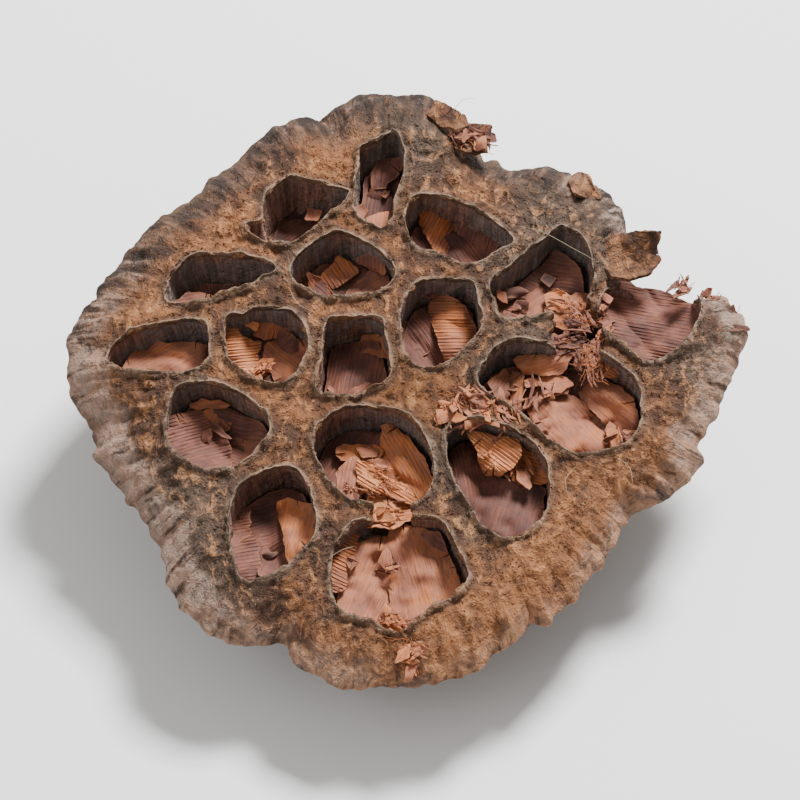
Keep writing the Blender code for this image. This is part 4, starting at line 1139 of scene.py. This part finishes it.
class Nodes:
    """Fills one node tree."""

    def __init__(self, tree):
        self.tree = tree
        tree.nodes.clear()

    def add(self, kind, settings=None, values=None, output=0):
        """A node of this type, with its settings made first and then its sockets set or linked."""
        node = self.tree.nodes.new(kind)
        for name, value in (settings or {}).items():
            if name == "stops":
                stops = node.color_ramp.elements
                for place, colour in value[1:-1]:
                    stops.new(place).color = (*colour, 1.0)
                for stop, (place, colour) in zip((stops[0], stops[-1]), (value[0], value[-1])):
                    stop.position = place
                    stop.color = (*colour, 1.0)
            else:
                setattr(node, name, value)
        for name, value in (values or {}).items():
            socket = node.inputs[name]
            if isinstance(value, Signal):
                self.tree.links.new(value.socket, socket)
            else:
                socket.default_value = value
        return Signal(self, node.outputs[output]) if len(node.outputs) else node

    def mix(self, factor, first, second, mode="MIX"):
        """Two colours mixed."""
        pair = [(*value, 1.0) if isinstance(value, tuple) else value for value in (first, second)]
        settings = {"data_type": "RGBA", "blend_type": mode, "clamp_factor": True}
        return self.add("ShaderNodeMix", settings, {0: factor, 6: pair[0], 7: pair[1]}, output=2)

    def between(self, value, low, high):
        """The value's place between low and high, held from 0 to 1 and eased."""
        return self.add("ShaderNodeMapRange", {"interpolation_type": "SMOOTHSTEP"},
                        {"Value": value, "From Min": low, "From Max": high})

    def place(self):
        """The place on the piece, in metres."""
        return self.add("ShaderNodeTexCoord", output="Object")

    def noise(self, place, scale, detail=3.0, roughness=0.55, distortion=0.0):
        """Noise from 0 to 1."""
        return self.add("ShaderNodeTexNoise", None, {"Vector": place, "Scale": scale, "Detail": detail,
                                                     "Roughness": roughness, "Distortion": distortion})

    def vector(self, operation, first, second):
        """Vector Math; a scale has its factor on a socket of its own."""
        slot = "Scale" if operation == "SCALE" else 1
        return self.add("ShaderNodeVectorMath", {"operation": operation}, {0: first, slot: second})

    def stretched_noise(self, place, factors, detail, roughness=0.6):
        """Noise in streaks, from a place scaled by its own factor along each axis."""
        return self.noise(self.vector("MULTIPLY", place, factors), 1.0, detail, roughness)

    def mark(self, name, vector=False):
        """A mark stored on the mesh's points."""
        return self.add("ShaderNodeAttribute", {"attribute_name": name}, output="Vector" if vector else "Fac")

    def finish(self, colour, roughness, specular=0.15, relief=None):
        """The dull surface; its relief is a height, the strength of the bump and how high it stands."""
        values = {"Base Color": colour, "Roughness": roughness, "Specular IOR Level": specular}
        if relief:
            bump = dict(zip(("Height", "Strength", "Distance"), relief))
            values["Normal"] = self.add("ShaderNodeBump", None, bump)
        shader = self.add("ShaderNodeBsdfPrincipled", None, values)
        self.add("ShaderNodeOutputMaterial", None, {"Surface": shader})

    def scattered(self, spots, piece, rotation, scale, material, spin=None):
        """Puts the piece on every spot and ends the tree in plain mesh with its material."""
        placed = self.add("GeometryNodeInstanceOnPoints", None, {
            "Points": spots, "Instance": piece, "Rotation": rotation, "Scale": scale})
        if spin:
            placed = self.add("GeometryNodeRotateInstances", None, {"Instances": placed, "Rotation": spin})
        plain = self.add("GeometryNodeRealizeInstances", None, {"Geometry": placed})
        shaped = self.add("GeometryNodeSetMaterial", None, {"Geometry": plain, "Material": material})
        self.add("NodeGroupOutput", None, {"Geometry": shaped})

    def chance_vector(self, low, high, seed):
        """A vector drawn between two others."""
        values = {0: low, 1: high, "Seed": seed}
        return self.add("FunctionNodeRandomValue", {"data_type": "FLOAT_VECTOR"}, values)


def new_material(name):
    made = bpy.data.materials.new(name)
    made.use_nodes = True
    return made, Nodes(made.node_tree)


def pod_material(looks):
    """Corky webs, pale lips, a dark furrowed rim, red-brown pit walls and a brown underside."""
    made, nodes = new_material("pod_tissue")
    place = nodes.place()
    grain = nodes.mark("grain", vector=True)
    wall, lip, seam, rim, under, gold, tint, pale = (nodes.mark(name) for name in POD_MARKS[:8])
    broad = nodes.noise(place, 70.0, 3.0)
    patches = nodes.noise(place, 190.0, 4.0, 0.6)
    specks = nodes.noise(place, 1300.0, 3.0, 0.65)
    fuzz = nodes.noise(place, 3800.0, 2.0, 0.6)
    furrows = nodes.stretched_noise(grain, (0.55, 0.11, 0.06), 4.0, 0.65)
    stripes = nodes.stretched_noise(grain, (1.6, 0.12, 0.12), 3.0)
    fur = nodes.noise(nodes.vector("MULTIPLY", place, (1.0, 0.6, 1.0)), 460.0, 4.0, 0.68, 0.7)
    warm = nodes.between(patches * 0.42 + broad * 0.24 + fur * 0.34 + tint * 0.14, 0.41, 0.62)
    colour = nodes.mix(warm, tuple(looks.web_brown), tuple(looks.web_gold))
    dusk = nodes.between((0.0 - tint) + (patches - 0.5) * 0.9, 0.10, 0.75)
    colour = nodes.mix(dusk * 0.8, colour, nodes.mix(fur, *DUSK))
    # fur is also the corky bumps' height: painted shade in their hollows, then painted light on their crests
    colour = nodes.mix(nodes.between(fur, 0.45, 0.29) * 0.38, colour, HOLLOW_SHADE)
    colour = nodes.mix(nodes.between(fur, 0.52, 0.68) * 0.60, colour, CREST_LIGHT)
    colour = nodes.mix(nodes.between(specks, 0.44, 0.32) * 0.36, colour, SPECK)
    # Painted shade in the groove beside each lip
    colour = nodes.mix(seam * nodes.between(patches, 0.30, 0.60) * 0.75, colour, LIP_GROOVE_SHADE)
    edge = nodes.between(rim + (patches - 0.5) * 1.2 + (broad - 0.5) * 1.1 - gold * 0.35, 0.32, 0.74)
    # pale paints light and shade on the rim by angle, into its grey and its furrows
    ragged = furrows * 0.7 + specks * 0.3 + pale * 0.15
    grey = nodes.mix(nodes.between(ragged, 0.43, 0.59), tuple(looks.rim_dark), tuple(looks.rim_grey))
    grey = nodes.mix(nodes.between(patches, 0.47, 0.62) * 0.55, grey, RIM_BROWN)
    grey = nodes.mix(nodes.between(patches, 0.45, 0.34) * 0.50, grey, tuple(looks.rim_dark))
    # The rim's golden colour, raised as painted light on the near, lower rim
    grey = nodes.mix(gold * 0.85, grey, nodes.mix(nodes.between(fur, 0.36, 0.60), *GOLDEN_RIM_AND_LIGHT))
    colour = nodes.mix(edge * 0.92, colour, grey)
    # Painted shade in the rim's furrows, moved by the rim's painted light and shade by angle
    colour = nodes.mix(nodes.between(furrows + pale * 0.08, 0.49, 0.38) * rim * 0.8, colour, FURROW_SHADE)
    colour = nodes.mix(lip * nodes.between(fur, 0.30, 0.55) * 0.75, colour, tuple(looks.lip_pale))
    striped = nodes.between(stripes, 0.35, 0.68)
    inside, lined = nodes.mix(striped, *GREY_WALL), nodes.mix(striped, *LINED_WALL)
    inside = nodes.mix(nodes.between(broad, 0.44, 0.58), inside, lined)
    colour = nodes.mix(wall * 0.94, colour, inside)
    dust = nodes.noise(place, 2300.0, 1.0)
    colour = nodes.mix(nodes.between(dust, 0.72, 0.78) * 0.5, colour, DUST)
    below = nodes.between(stripes * 0.5 + patches * 0.5, 0.38, 0.62)
    colour = nodes.mix(under, colour, nodes.mix(below, *UNDERSIDE))
    height = specks * 0.35 + fuzz * 0.15 + stripes * 0.25 + fur * 1.0 + patches * 0.8
    nodes.finish(colour, 0.78 + specks * 0.2, relief=(height, 0.9, 0.0014))
    return made


def skin_material(looks):
    """Papery, faintly ribbed and a little glossy, from dark purple-brown to light orange."""
    made, nodes = new_material("papery_skin")
    place = nodes.place()
    run = nodes.add("ShaderNodeUVMap", {"uv_map": "grain"})
    tone, edge, rib = nodes.mark("tone"), nodes.mark("edge"), nodes.mark("rib")
    stripes = nodes.stretched_noise(run, (1.9, 0.10, 1.0), 3.0)
    fibres = nodes.stretched_noise(run, (6.0, 0.35, 1.0), 2.0)
    turn = 2 * math.pi / RIB_PITCH
    # ridge is 1 in the grooves between the ribs, where the sheet lies deepest, and takes the painted shade
    ridge = nodes.add("ShaderNodeSeparateXYZ", None, {"Vector": run}) * turn
    ridge = ridge.math("SINE", ridge + math.pi / 2, 0.0) * 0.5 + 0.5
    patches = nodes.noise(place, 210.0, 3.0)
    blots = nodes.noise(place, 700.0, 3.0, 0.6)
    shade = tone + (stripes - 0.5) * 0.46 + (patches - 0.5) * 0.48 + (blots - 0.5) * 0.30 + 0.12
    stops = [*SKIN_DARK, (0.60, tuple(looks.skin_salmon)), (0.78, SKIN_LIGHT[0]),
             (0.92, tuple(looks.skin_orange)), (1.0, SKIN_LIGHT[1])]
    colour = nodes.add("ShaderNodeValToRGB", {"stops": stops}, {0: shade})
    colour = nodes.mix(nodes.between(fibres, 0.46, 0.30) * 0.60, colour, SKIN_FIBRE)
    # Painted shade in the rib grooves
    colour = nodes.mix(ridge * rib * nodes.between(stripes, 0.37, 0.58) * 0.50, colour, SKIN_GROOVE_SHADE)
    colour = nodes.mix(nodes.between(tone, 0.60, 0.38) * 0.12, colour, SKIN_HAZE)
    # Painted highlight along the torn edges
    colour = nodes.mix(nodes.between(edge, 0.35, 0.95) * 0.28, colour, SKIN_EDGE_HIGHLIGHT)
    height = stripes * 0.6 + fibres * 0.4 + blots * 0.3
    nodes.finish(colour, 0.55 + blots * 0.25, 0.16, (height, 0.6, 0.0004))
    return made


def thread_material(name, colours, scale, held, roughness, gloss, bump):
    """A thin thread, lighter and darker by noise of this scale; its bump has a finer noise's scale first."""
    made, nodes = new_material(name)
    place = nodes.place()
    shade = nodes.noise(place, scale, 2.0)
    colour = nodes.mix(nodes.between(shade, *held) if held else shade, *colours)
    fine, strength, distance = bump
    relief = nodes.noise(place, fine, 2.0), strength, distance
    nodes.finish(colour, roughness + shade * gloss, relief=relief)
    return made


# Lips

def lip_run(line, aside, drops, height, closed):
    """A thin uneven ridge along a line on the face, as points and faces of a closed tube."""
    count = len(line)
    flat = np.column_stack([line, 0 * drops])
    tall = height * (0.75 + 0.7 * lumps(flat, 2.6, 81) + 0.55 * lumps(flat, 0.8, 82, True)).clip(0.2)
    if not closed:
        tall = tall * np.minimum(1, np.minimum(np.arange(count), np.arange(count)[::-1]) / 4)
    lean = 0.22 * lumps(flat, 3.4, 83)
    wide = 1 + 0.35 * lumps(flat, 1.9, 84)
    rings = []
    for out, leaning, high, _ in LIP_SECTION:
        spot = line + aside * (out * wide + lean * leaning)[:, None]
        rise = tall * high if high > 0 else np.full(count, high)
        rings.append(on_face(spot[:, 0], spot[:, 1], drops - rise))
    points = np.stack(rings, axis=1).reshape(-1, 3)
    faces = [(face[0], *face[:0:-1]) for face in tube_faces(count, len(LIP_SECTION), closed)]
    return points, faces, np.tile([pale for *_, pale in LIP_SECTION], count)


def lip_mesh(pits, pod_mesh, height):
    """Lips round the pits' openings, broken off where the walls are: points, faces and paleness."""
    triangles = [tuple(face.vertices) for face in pod_mesh.polygons]
    tree = BVHTree.FromPolygons(points_of(pod_mesh).tolist(), triangles)
    points, faces, pale, start = [], [], [], 0
    for pit in pits.values():
        line = spaced(pit.outline, int(pit.length * OUTLINE_POINTS / LIP_STEP))
        count = len(line)
        aside = outward_of(line) * np.sign(signed_area(line))
        for _ in range(3):
            gap, _ = pit.wall_gap(line[:, 0], line[:, 1], np.zeros(count))
            line = line + aside * (PIT_EDGE - gap)[:, None]
        drops = np.full(count, 99.0)
        for k, (x, y) in enumerate(line + aside * 0.45):
            hit = tree.ray_cast(Vector(on_face(x, y, -9.0)), Vector(-OUTWARD))[0]
            if hit is not None:
                drops[k] = off_face(np.array(hit)[None])[2][0]
        share = np.hypot(*line.T) / rim_radius(np.degrees(np.arctan2(line[:, 1], line[:, 0])))
        sound = drops < swell_drop(share) + 2.0
        drops = np.where(sound, drops, swell_drop(share))
        drops = sum(np.roll(drops, k) for k in (-2, -1, 0, 1, 2)) / 5
        runs = [np.arange(count)]
        if not sound.all():
            first = int(np.flatnonzero(~sound)[0])
            order = np.roll(np.arange(count), -first)
            breaks = np.flatnonzero(np.diff(sound[order].astype(int)) != 0) + 1
            runs = [run for run in np.split(order, breaks) if sound[run[0]] and len(run) > 8]
        for run in runs:
            made, sides, light = lip_run(line[run], aside[run], drops[run], height, len(run) == count)
            points.append(made)
            faces.extend(tuple(k + start for k in side) for side in sides)
            pale.append(light)
            start += len(made)
    return np.vstack(points), faces, np.concatenate(pale)


# Growing things with Geometry Nodes

def new_tree(name, sizes):
    """A geometry tree with these named inputs, and its first and last nodes."""
    tree = bpy.data.node_groups.new(name, "GeometryNodeTree")
    tree.interface.new_socket("Geometry", in_out="INPUT", socket_type="NodeSocketGeometry")
    tree.interface.new_socket("Geometry", in_out="OUTPUT", socket_type="NodeSocketGeometry")
    for label, kind in sizes.items():
        tree.interface.new_socket(label, in_out="INPUT", socket_type=kind)
    nodes = Nodes(tree)
    return tree, nodes, nodes.add("NodeGroupInput")


def grown(emitter, tree, sizes):
    """The plain mesh that a geometry tree makes on the emitter, as the emitter's new mesh."""
    modifier = emitter.modifiers.new("grow", "NODES")
    modifier.node_group = tree
    for item in tree.interface.items_tree:
        if item.name in sizes:
            modifier[item.identifier] = sizes[item.name]
    return apply_modifiers(emitter)


def fibre_tree():
    """Scatters short bent fibres over a surface, standing at odd angles."""
    tree, nodes, start = new_tree("scatter_fibres", {
        "Fibres per square metre": "NodeSocketFloat", "Fibre length": "NodeSocketFloat",
        "Seed": "NodeSocketInt", "Material": "NodeSocketMaterial"})
    spots = nodes.add("GeometryNodeDistributePointsOnFaces", None, {
        "Mesh": start.output("Geometry"), "Density": start.output("Fibres per square metre"),
        "Seed": start.output("Seed")}, output="Points")
    line = nodes.add("GeometryNodeCurvePrimitiveLine", None, {"End": (0, 0, 1.0)})
    line = nodes.add("GeometryNodeResampleCurve", None, {"Curve": line, "Count": 6})
    wave = nodes.add("ShaderNodeTexNoise", None, {"Scale": 1.6, "Detail": 1.0}, output="Color")
    offset = nodes.vector("SUBTRACT", wave, (0.5, 0.5, 0.5))
    line = nodes.add("GeometryNodeSetPosition", None, {"Geometry": line, "Offset": offset})
    size = nodes.add("FunctionNodeRandomValue", {"data_type": "FLOAT"}, {2: 0.35, 3: 1.0, "Seed": 3},
                     output=1)
    turn = nodes.chance_vector((1.0, -0.6, 0.0), (1.9, 0.6, 6.28), 5)
    thread = nodes.add("GeometryNodeCurvePrimitiveCircle", None, {"Resolution": 3, "Radius": 0.03})
    tube = nodes.add("GeometryNodeCurveToMesh", None, {
        "Curve": line, "Profile Curve": thread, "Fill Caps": True})
    length = nodes.vector("SCALE", (1.0, 1.0, 1.0), size * start.output("Fibre length"))
    nodes.scattered(spots, tube, turn, length, start.output("Material"))
    return tree


def crumb_tree():
    """Scatters small flat crumbs over a surface, as thickly as its crumb mark says."""
    tree, nodes, start = new_tree("scatter_crumbs", {
        "Crumbs per square metre": "NodeSocketFloat", "Crumb radius": "NodeSocketFloat",
        "Seed": "NodeSocketInt", "Material": "NodeSocketMaterial"})
    thick = nodes.add("GeometryNodeInputNamedAttribute", {"data_type": "FLOAT"}, {"Name": "crumb"})
    spots = nodes.add("GeometryNodeDistributePointsOnFaces", None, {
        "Mesh": start.output("Geometry"), "Density": thick * start.output("Crumbs per square metre"),
        "Seed": start.output("Seed")}, output="Points")
    grain = nodes.add("GeometryNodeMeshIcoSphere", None, {"Radius": 1.0, "Subdivisions": 1})
    size = nodes.chance_vector((0.5, 0.4, 0.3), (1.5, 1.0, 0.7), 11)
    size = nodes.vector("SCALE", size, start.output("Crumb radius"))
    spin = nodes.chance_vector((-0.5, -0.5, 0.0), (0.5, 0.5, 6.28), 12)
    nodes.scattered(spots, grain, spots.output("Rotation"), size, start.output("Material"), spin)
    return tree


def thread_mesh(line, radius, sides=5):
    """A closed thread of even thickness along a line, tapering at its ends."""
    count = len(line)
    ahead = np.gradient(line, axis=0)
    ahead /= np.linalg.norm(ahead, axis=1)[:, None]
    aside = np.cross(ahead, (0.31, 0.27, 0.91))
    aside /= np.linalg.norm(aside, axis=1)[:, None]
    over = np.cross(ahead, aside)
    far = np.minimum(np.arange(count), np.arange(count)[::-1])
    wide = radius * np.minimum(1.0, 0.3 + 3.0 * far / count)[:, None]
    turns = 2 * math.pi * np.arange(sides) / sides
    rings = [line + (aside * math.cos(turn) + over * math.sin(turn)) * wide for turn in turns]
    return np.stack(rings, axis=1).reshape(-1, 3), tube_faces(count, sides)


# Settings

def length(name, default, description, **limits):
    """A length for the sidebar, in metres."""
    return FloatProperty(name=name, description=description, default=default, unit="LENGTH", precision=5,
                         **limits)


def colour(name, default, description):
    """A colour for the sidebar."""
    return FloatVectorProperty(name=name, description=description, default=default, subtype="COLOR",
                               min=0, max=1)


def power(name, default, description):
    """A lamp's power for the sidebar, in watts."""
    return FloatProperty(name=name, description=description, default=default, unit="POWER")


def amount(name, default, description):
    """A plain number for the sidebar."""
    return FloatProperty(name=name, description=description, default=default)


class PodSettings(bpy.types.PropertyGroup):
    """Sizes and colours of the pod itself."""

    grain: length("Carving step", 0.0004, "Distance between the points that the pod is carved from",
                  min=0.0003, max=0.001)
    lip_height: length("Lip height", 0.0005, "How far the lip round a pit stands up")
    web_sink: length("Web sink", 0.00035, "How far the webs sink between two lips")
    cork_height: length("Cork height", 0.00042, "Height of the corky bumps on the webs")
    furrow_depth: length("Furrow depth", 0.0007, "Depth of the furrows that run over the rim")
    web_gold: colour("Web gold", (0.250, 0.103, 0.044), "Lighter colour of the corky webs")
    web_brown: colour("Web brown", (0.070, 0.037, 0.025), "Darker colour of the corky webs")
    rim_dark: colour("Rim dark", (0.042, 0.031, 0.027), "Darker colour of the furrowed rim")
    rim_grey: colour("Rim grey", (0.310, 0.225, 0.185), "Lighter colour of the furrowed rim")
    lip_pale: colour("Lip pale", (0.26, 0.185, 0.132), "Colour of the lips round the pits")


class SkinSettings(bpy.types.PropertyGroup):
    """Sizes and colours of the papery scraps, fibres and crumbs."""

    thickness: length("Thickness", 0.00017, "Thickness of a papery scrap")
    fibre_length: length("Fibre length", 0.0026, "Length of the longest fibre of a tuft")
    fibre_count: amount("Fibre count", 2.2e6, "Fibres on each square metre of a tuft")
    crumb_radius: length("Crumb radius", 0.00028, "Radius of a middling crumb of cork")
    crumb_count: amount("Crumb count", 9e5, "Crumbs on each square metre of the face")
    seed: IntProperty(name="Seed", description="Seed for everything that is scattered", default=7)
    skin_salmon: colour("Skin salmon", (0.250, 0.094, 0.060), "Usual colour of the papery scraps")
    skin_orange: colour("Skin orange", (0.47, 0.152, 0.052), "Light colour of the papery scraps")


class StageSettings(bpy.types.PropertyGroup):
    """The floor, the lights and the camera."""

    floor_colour: colour("Floor colour", (0.86, 0.86, 0.86), "Colour of the plain floor")
    key: power("Key power", 23.0, "Power of the main light")
    fill: power("Fill power", 3.0, "Power of the light from the other side")
    sky: amount("Sky strength", 0.5, "Strength of the even light from all round")
    lens: amount("Lens", 350.0, "Focal length of the camera in millimetres")


# Operators

class LOTUS_OT_pod(bpy.types.Operator):
    """Carve the woody pod with its pits, lips, furrowed rim and ribbed underside"""

    bl_idname = "lotus.pod"
    bl_label = "Pod"

    def execute(self, context):
        sizes = context.scene.lotus_pod
        pits = all_pits()
        points, quads = largest_body(*carve_pod(pits, sizes).mesh())
        first, second, third = (points[quads[:, k]] for k in range(3))
        if (first * np.cross(second, third)).sum() < 0:
            quads = quads[:, ::-1]
        points = weather(points, quads, pod_marks(points, pits), sizes)
        pod = new_mesh_object("lotus_pod", points, quads, pod_material(sizes))
        thin = pod.modifiers.new("thin", "DECIMATE")
        thin.ratio = min(1.0, POD_TRIANGLES / (2 * len(quads)))
        apply_modifiers(pod)
        pod.data.shade_smooth()
        marks = pod_marks(points_of(pod.data), pits)
        bare = [1 - marks[name] for name in ("wall", "under", "lip")]
        crumb = np.prod([*bare, 1 - ease(0.8, 0.95, marks["share"])], axis=0)
        add_marks(pod.data, {**{name: marks[name] for name in POD_MARKS}, "crumb": crumb})
        declare(pod, ["pod"])
        return {"FINISHED"}


class LOTUS_OT_lips(bpy.types.Operator):
    """Raise the thin uneven lips round the pits"""

    bl_idname = "lotus.lips"
    bl_label = "Lips"

    def execute(self, context):
        pits, pod = all_pits(), bpy.data.objects["lotus_pod"]
        points, faces, pale = lip_mesh(pits, pod.data, context.scene.lotus_pod.lip_height / METRES)
        lips = new_mesh_object("pit_lips", points, faces, pod.data.materials[0])
        lips.data.set_sharp_from_angle(angle=math.radians(LIP_CREASE))
        marks = pod_marks(points, pits)
        none = np.zeros(len(points))
        marks.update(lip=pale, wall=none, under=none)
        add_marks(lips.data, {name: marks[name] for name in POD_MARKS})
        declare(lips, ["pod"])
        return {"FINISHED"}


class LOTUS_OT_scraps(bpy.types.Operator):
    """Lay the torn papery scraps in the seed pits"""

    bl_idname = "lotus.scraps"
    bl_label = "Papery scraps"

    def execute(self, context):
        looks = context.scene.lotus_skin
        material = skin_material(looks)
        for number, (name, pit) in enumerate(all_pits().items()):
            sheets = [lining_sheet(pit, name, number + 1)]
            for k, scrap in enumerate(SCRAPS[name]):
                sheets.append(scrap_sheet(*scrap, seed=20 * (number + 1) + k))
            for k, area in enumerate(FLAKES.get(name, [])):
                sheets.extend(flake_sheets(area, 1000 + 100 * number + 20 * k))
            for k, area in enumerate(SHREDS.get(name, [])):
                sheets.extend(shred_sheets(area, 3000 + 10 * number + k))
            scraps = join_sheets(f"papery_scraps_{name}", sheets, material, looks.thickness)
            declare(scraps, [f"skin_{name}"])
        return {"FINISHED"}


class LOTUS_OT_torn_rim(bpy.types.Operator):
    """Add the torn scraps that hang on the rim"""

    bl_idname = "lotus.torn_rim"
    bl_label = "Torn rim"

    def execute(self, context):
        thickness = context.scene.lotus_skin.thickness
        sheets = [scrap_sheet(*scrap, seed=500 + 9 * k) for k, scrap in enumerate(RIM_SCRAPS)]
        woody = bpy.data.objects["lotus_pod"].data.materials[0]
        made = join_sheets("torn_rim", sheets, woody, 3.5 * thickness)
        none = np.zeros(len(made.data.vertices))
        # The torn rim takes the rim's golden colour and a little of its painted shade
        marks = {**dict.fromkeys(POD_MARKS, none), "rim": none + 0.6, "gold": none + 0.6, "pale": none - 0.1}
        add_marks(made.data, {**marks, "grain": points_of(made.data)})
        declare(made, ["pod"])
        sheets = [sheet for k, area in enumerate(FACE_FLAKES) for sheet in flake_sheets(area, 5000 + 30 * k)]
        sheets += [sheet for k, area in enumerate(FACE_SHREDS) for sheet in shred_sheets(area, 6000 + k)]
        skin = bpy.data.objects["papery_scraps_01"].data.materials[0]
        made = join_sheets("torn_flakes", sheets, skin, thickness)
        declare(made, ["pod"])
        return {"FINISHED"}


class LOTUS_OT_fibres(bpy.types.Operator):
    """Grow tufts of orange fibres where the tissue has torn"""

    bl_idname = "lotus.fibres"
    bl_label = "Fibre tufts"

    def execute(self, context):
        looks = context.scene.lotus_skin
        points, faces = [], []
        for across, up, drop, radius in TUFTS:
            start = len(points)
            ring = np.radians(np.arange(0, 360, 30))
            uneven = radius * (1 + 0.3 * np.sin(3 * ring + across))
            ups = up + SEEN_SHIFT * drop + uneven * np.sin(ring)
            points.extend(on_face(across + uneven * np.cos(ring), ups, np.full(12, drop)))
            points.append(on_face(across, up + SEEN_SHIFT * drop, drop - 0.6))
            faces.extend((start + k, start + (k + 1) % 12, start + 12) for k in range(12))
        material = thread_material("fibre", FIBRE, 420.0, (0.35, 0.65), 0.7, 0.15, (5000.0, 0.3, 0.0002))
        tufts = new_mesh_object("fibre_tufts", points, faces, material)
        grown(tufts, fibre_tree(), {
            "Fibres per square metre": looks.fibre_count, "Fibre length": looks.fibre_length,
            "Seed": looks.seed, "Material": material})
        declare(tufts, ["pod"])
        return {"FINISHED"}


class LOTUS_OT_crumbs(bpy.types.Operator):
    """Scatter crumbs of cork over the webs and the band inside the rim"""

    bl_idname = "lotus.crumbs"
    bl_label = "Crumbs"

    def execute(self, context):
        looks = context.scene.lotus_skin
        pod = bpy.data.objects["lotus_pod"]
        crumbs = bpy.data.objects.new("cork_crumbs", pod.data.copy())
        crumbs.data.name = "cork_crumbs"
        context.scene.collection.objects.link(crumbs)
        grown(crumbs, crumb_tree(), {
            "Crumbs per square metre": looks.crumb_count, "Crumb radius": looks.crumb_radius,
            "Seed": looks.seed, "Material": pod.data.materials[0]})
        declare(crumbs, ["pod"])
        return {"FINISHED"}


class LOTUS_OT_hairs(bpy.types.Operator):
    """Lay fine pale hairs over the face"""

    bl_idname = "lotus.hairs"
    bl_label = "Hairs"

    def execute(self, context):
        points, faces = [], []
        for hair in HAIRS:
            line = curve_through(hair, 8, closed=False)
            tube, sides = thread_mesh(on_face(*line.T), 0.045)
            faces.extend(tuple(k + len(points) for k in side) for side in sides)
            points.extend(tube)
        material = thread_material("pale_hair", HAIR, 300.0, None, 0.5, 0.2, (6000.0, 0.2, 0.0001))
        made = new_mesh_object("pale_hairs", points, faces, material)
        declare(made, ["pod"])
        return {"FINISHED"}


class LOTUS_OT_stage(bpy.types.Operator):
    """Set up the plain floor, the lights and the camera"""

    bl_idname = "lotus.stage"
    bl_label = "Stage"

    def execute(self, context):
        stage = context.scene.lotus_stage
        floor_material, nodes = new_material("floor")
        nodes.finish((*stage.floor_colour, 1.0), 0.9, 0.1)
        corners = np.array([(-1, -1, 0), (1, -1, 0), (1, 1, 0), (-1, 1, 0)]) * FLOOR_HALF / METRES
        new_mesh_object("floor", corners, [(0, 1, 2, 3)], floor_material)
        world = bpy.data.worlds.new("studio")
        world.use_nodes = True
        light = world.node_tree.nodes["Background"].inputs
        light["Color"].default_value, light["Strength"].default_value = SKY, stage.sky
        context.scene.world = world

        def set_up(name, data, place, way):
            made = bpy.data.objects.new(name, data)
            context.scene.collection.objects.link(made)
            made.location, made.rotation_euler = place, way.to_track_quat("-Z", "Y").to_euler()
            return made

        for name, (size, place) in LAMPS.items():
            lamp = bpy.data.lights.new(name, "AREA")
            lamp.energy, lamp.size = getattr(stage, name), size
            set_up(name, lamp, place, Vector(LAMP_AIM) - Vector(place))
        lens = bpy.data.cameras.new("camera")
        lens.lens, lens.sensor_width = stage.lens, SENSOR
        lens.clip_start, lens.clip_end = 0.05, 10.0
        lift = math.radians(CAMERA_LIFT)
        forward = Vector((0, math.cos(lift), -math.sin(lift)))
        aside, above = Vector((1, 0, 0)), Vector((0, math.sin(lift), math.cos(lift)))
        look_at = Vector(FACE_CENTRE * METRES) + aside * CAMERA_SHIFT[0] + above * CAMERA_SHIFT[1]
        place = look_at - forward * (CAMERA_VIEW * stage.lens / SENSOR)
        context.scene.camera = set_up("camera", lens, place, forward)
        return {"FINISHED"}


class LOTUS_PT_panel(bpy.types.Panel):
    """Lists the pieces of the pod and their settings"""

    bl_idname = "LOTUS_PT_panel"
    bl_label = "Dried Lotus Pod"
    bl_space_type = "VIEW_3D"
    bl_region_type = "UI"
    bl_category = "Lotus Pod"

    def draw(self, context):
        for operator in OPERATORS:
            self.layout.operator(operator.bl_idname)
        for group, kind in SETTINGS.items():
            box = self.layout.box()
            for name in kind.__annotations__:
                box.prop(getattr(context.scene, group), name)


SETTINGS = {"lotus_pod": PodSettings, "lotus_skin": SkinSettings, "lotus_stage": StageSettings}
OPERATORS = [LOTUS_OT_stage, LOTUS_OT_pod, LOTUS_OT_lips, LOTUS_OT_scraps, LOTUS_OT_torn_rim, LOTUS_OT_fibres,
             LOTUS_OT_crumbs, LOTUS_OT_hairs]


def register():
    for group, kind in SETTINGS.items():
        bpy.utils.register_class(kind)
        setattr(bpy.types.Scene, group, PointerProperty(type=kind))
    for kind in (*OPERATORS, LOTUS_PT_panel):
        bpy.utils.register_class(kind)


def unregister():
    for kind in (LOTUS_PT_panel, *reversed(OPERATORS)):
        bpy.utils.unregister_class(kind)
    for group, kind in SETTINGS.items():
        delattr(bpy.types.Scene, group)
        bpy.utils.unregister_class(kind)


def main():
    register()
    bpy.ops.lotus.stage()
    bpy.ops.lotus.pod()
    bpy.ops.lotus.lips()
    bpy.ops.lotus.scraps()
    bpy.ops.lotus.torn_rim()
    bpy.ops.lotus.fibres()
    bpy.ops.lotus.crumbs()
    bpy.ops.lotus.hairs()


if __name__ == "__main__":
    main()
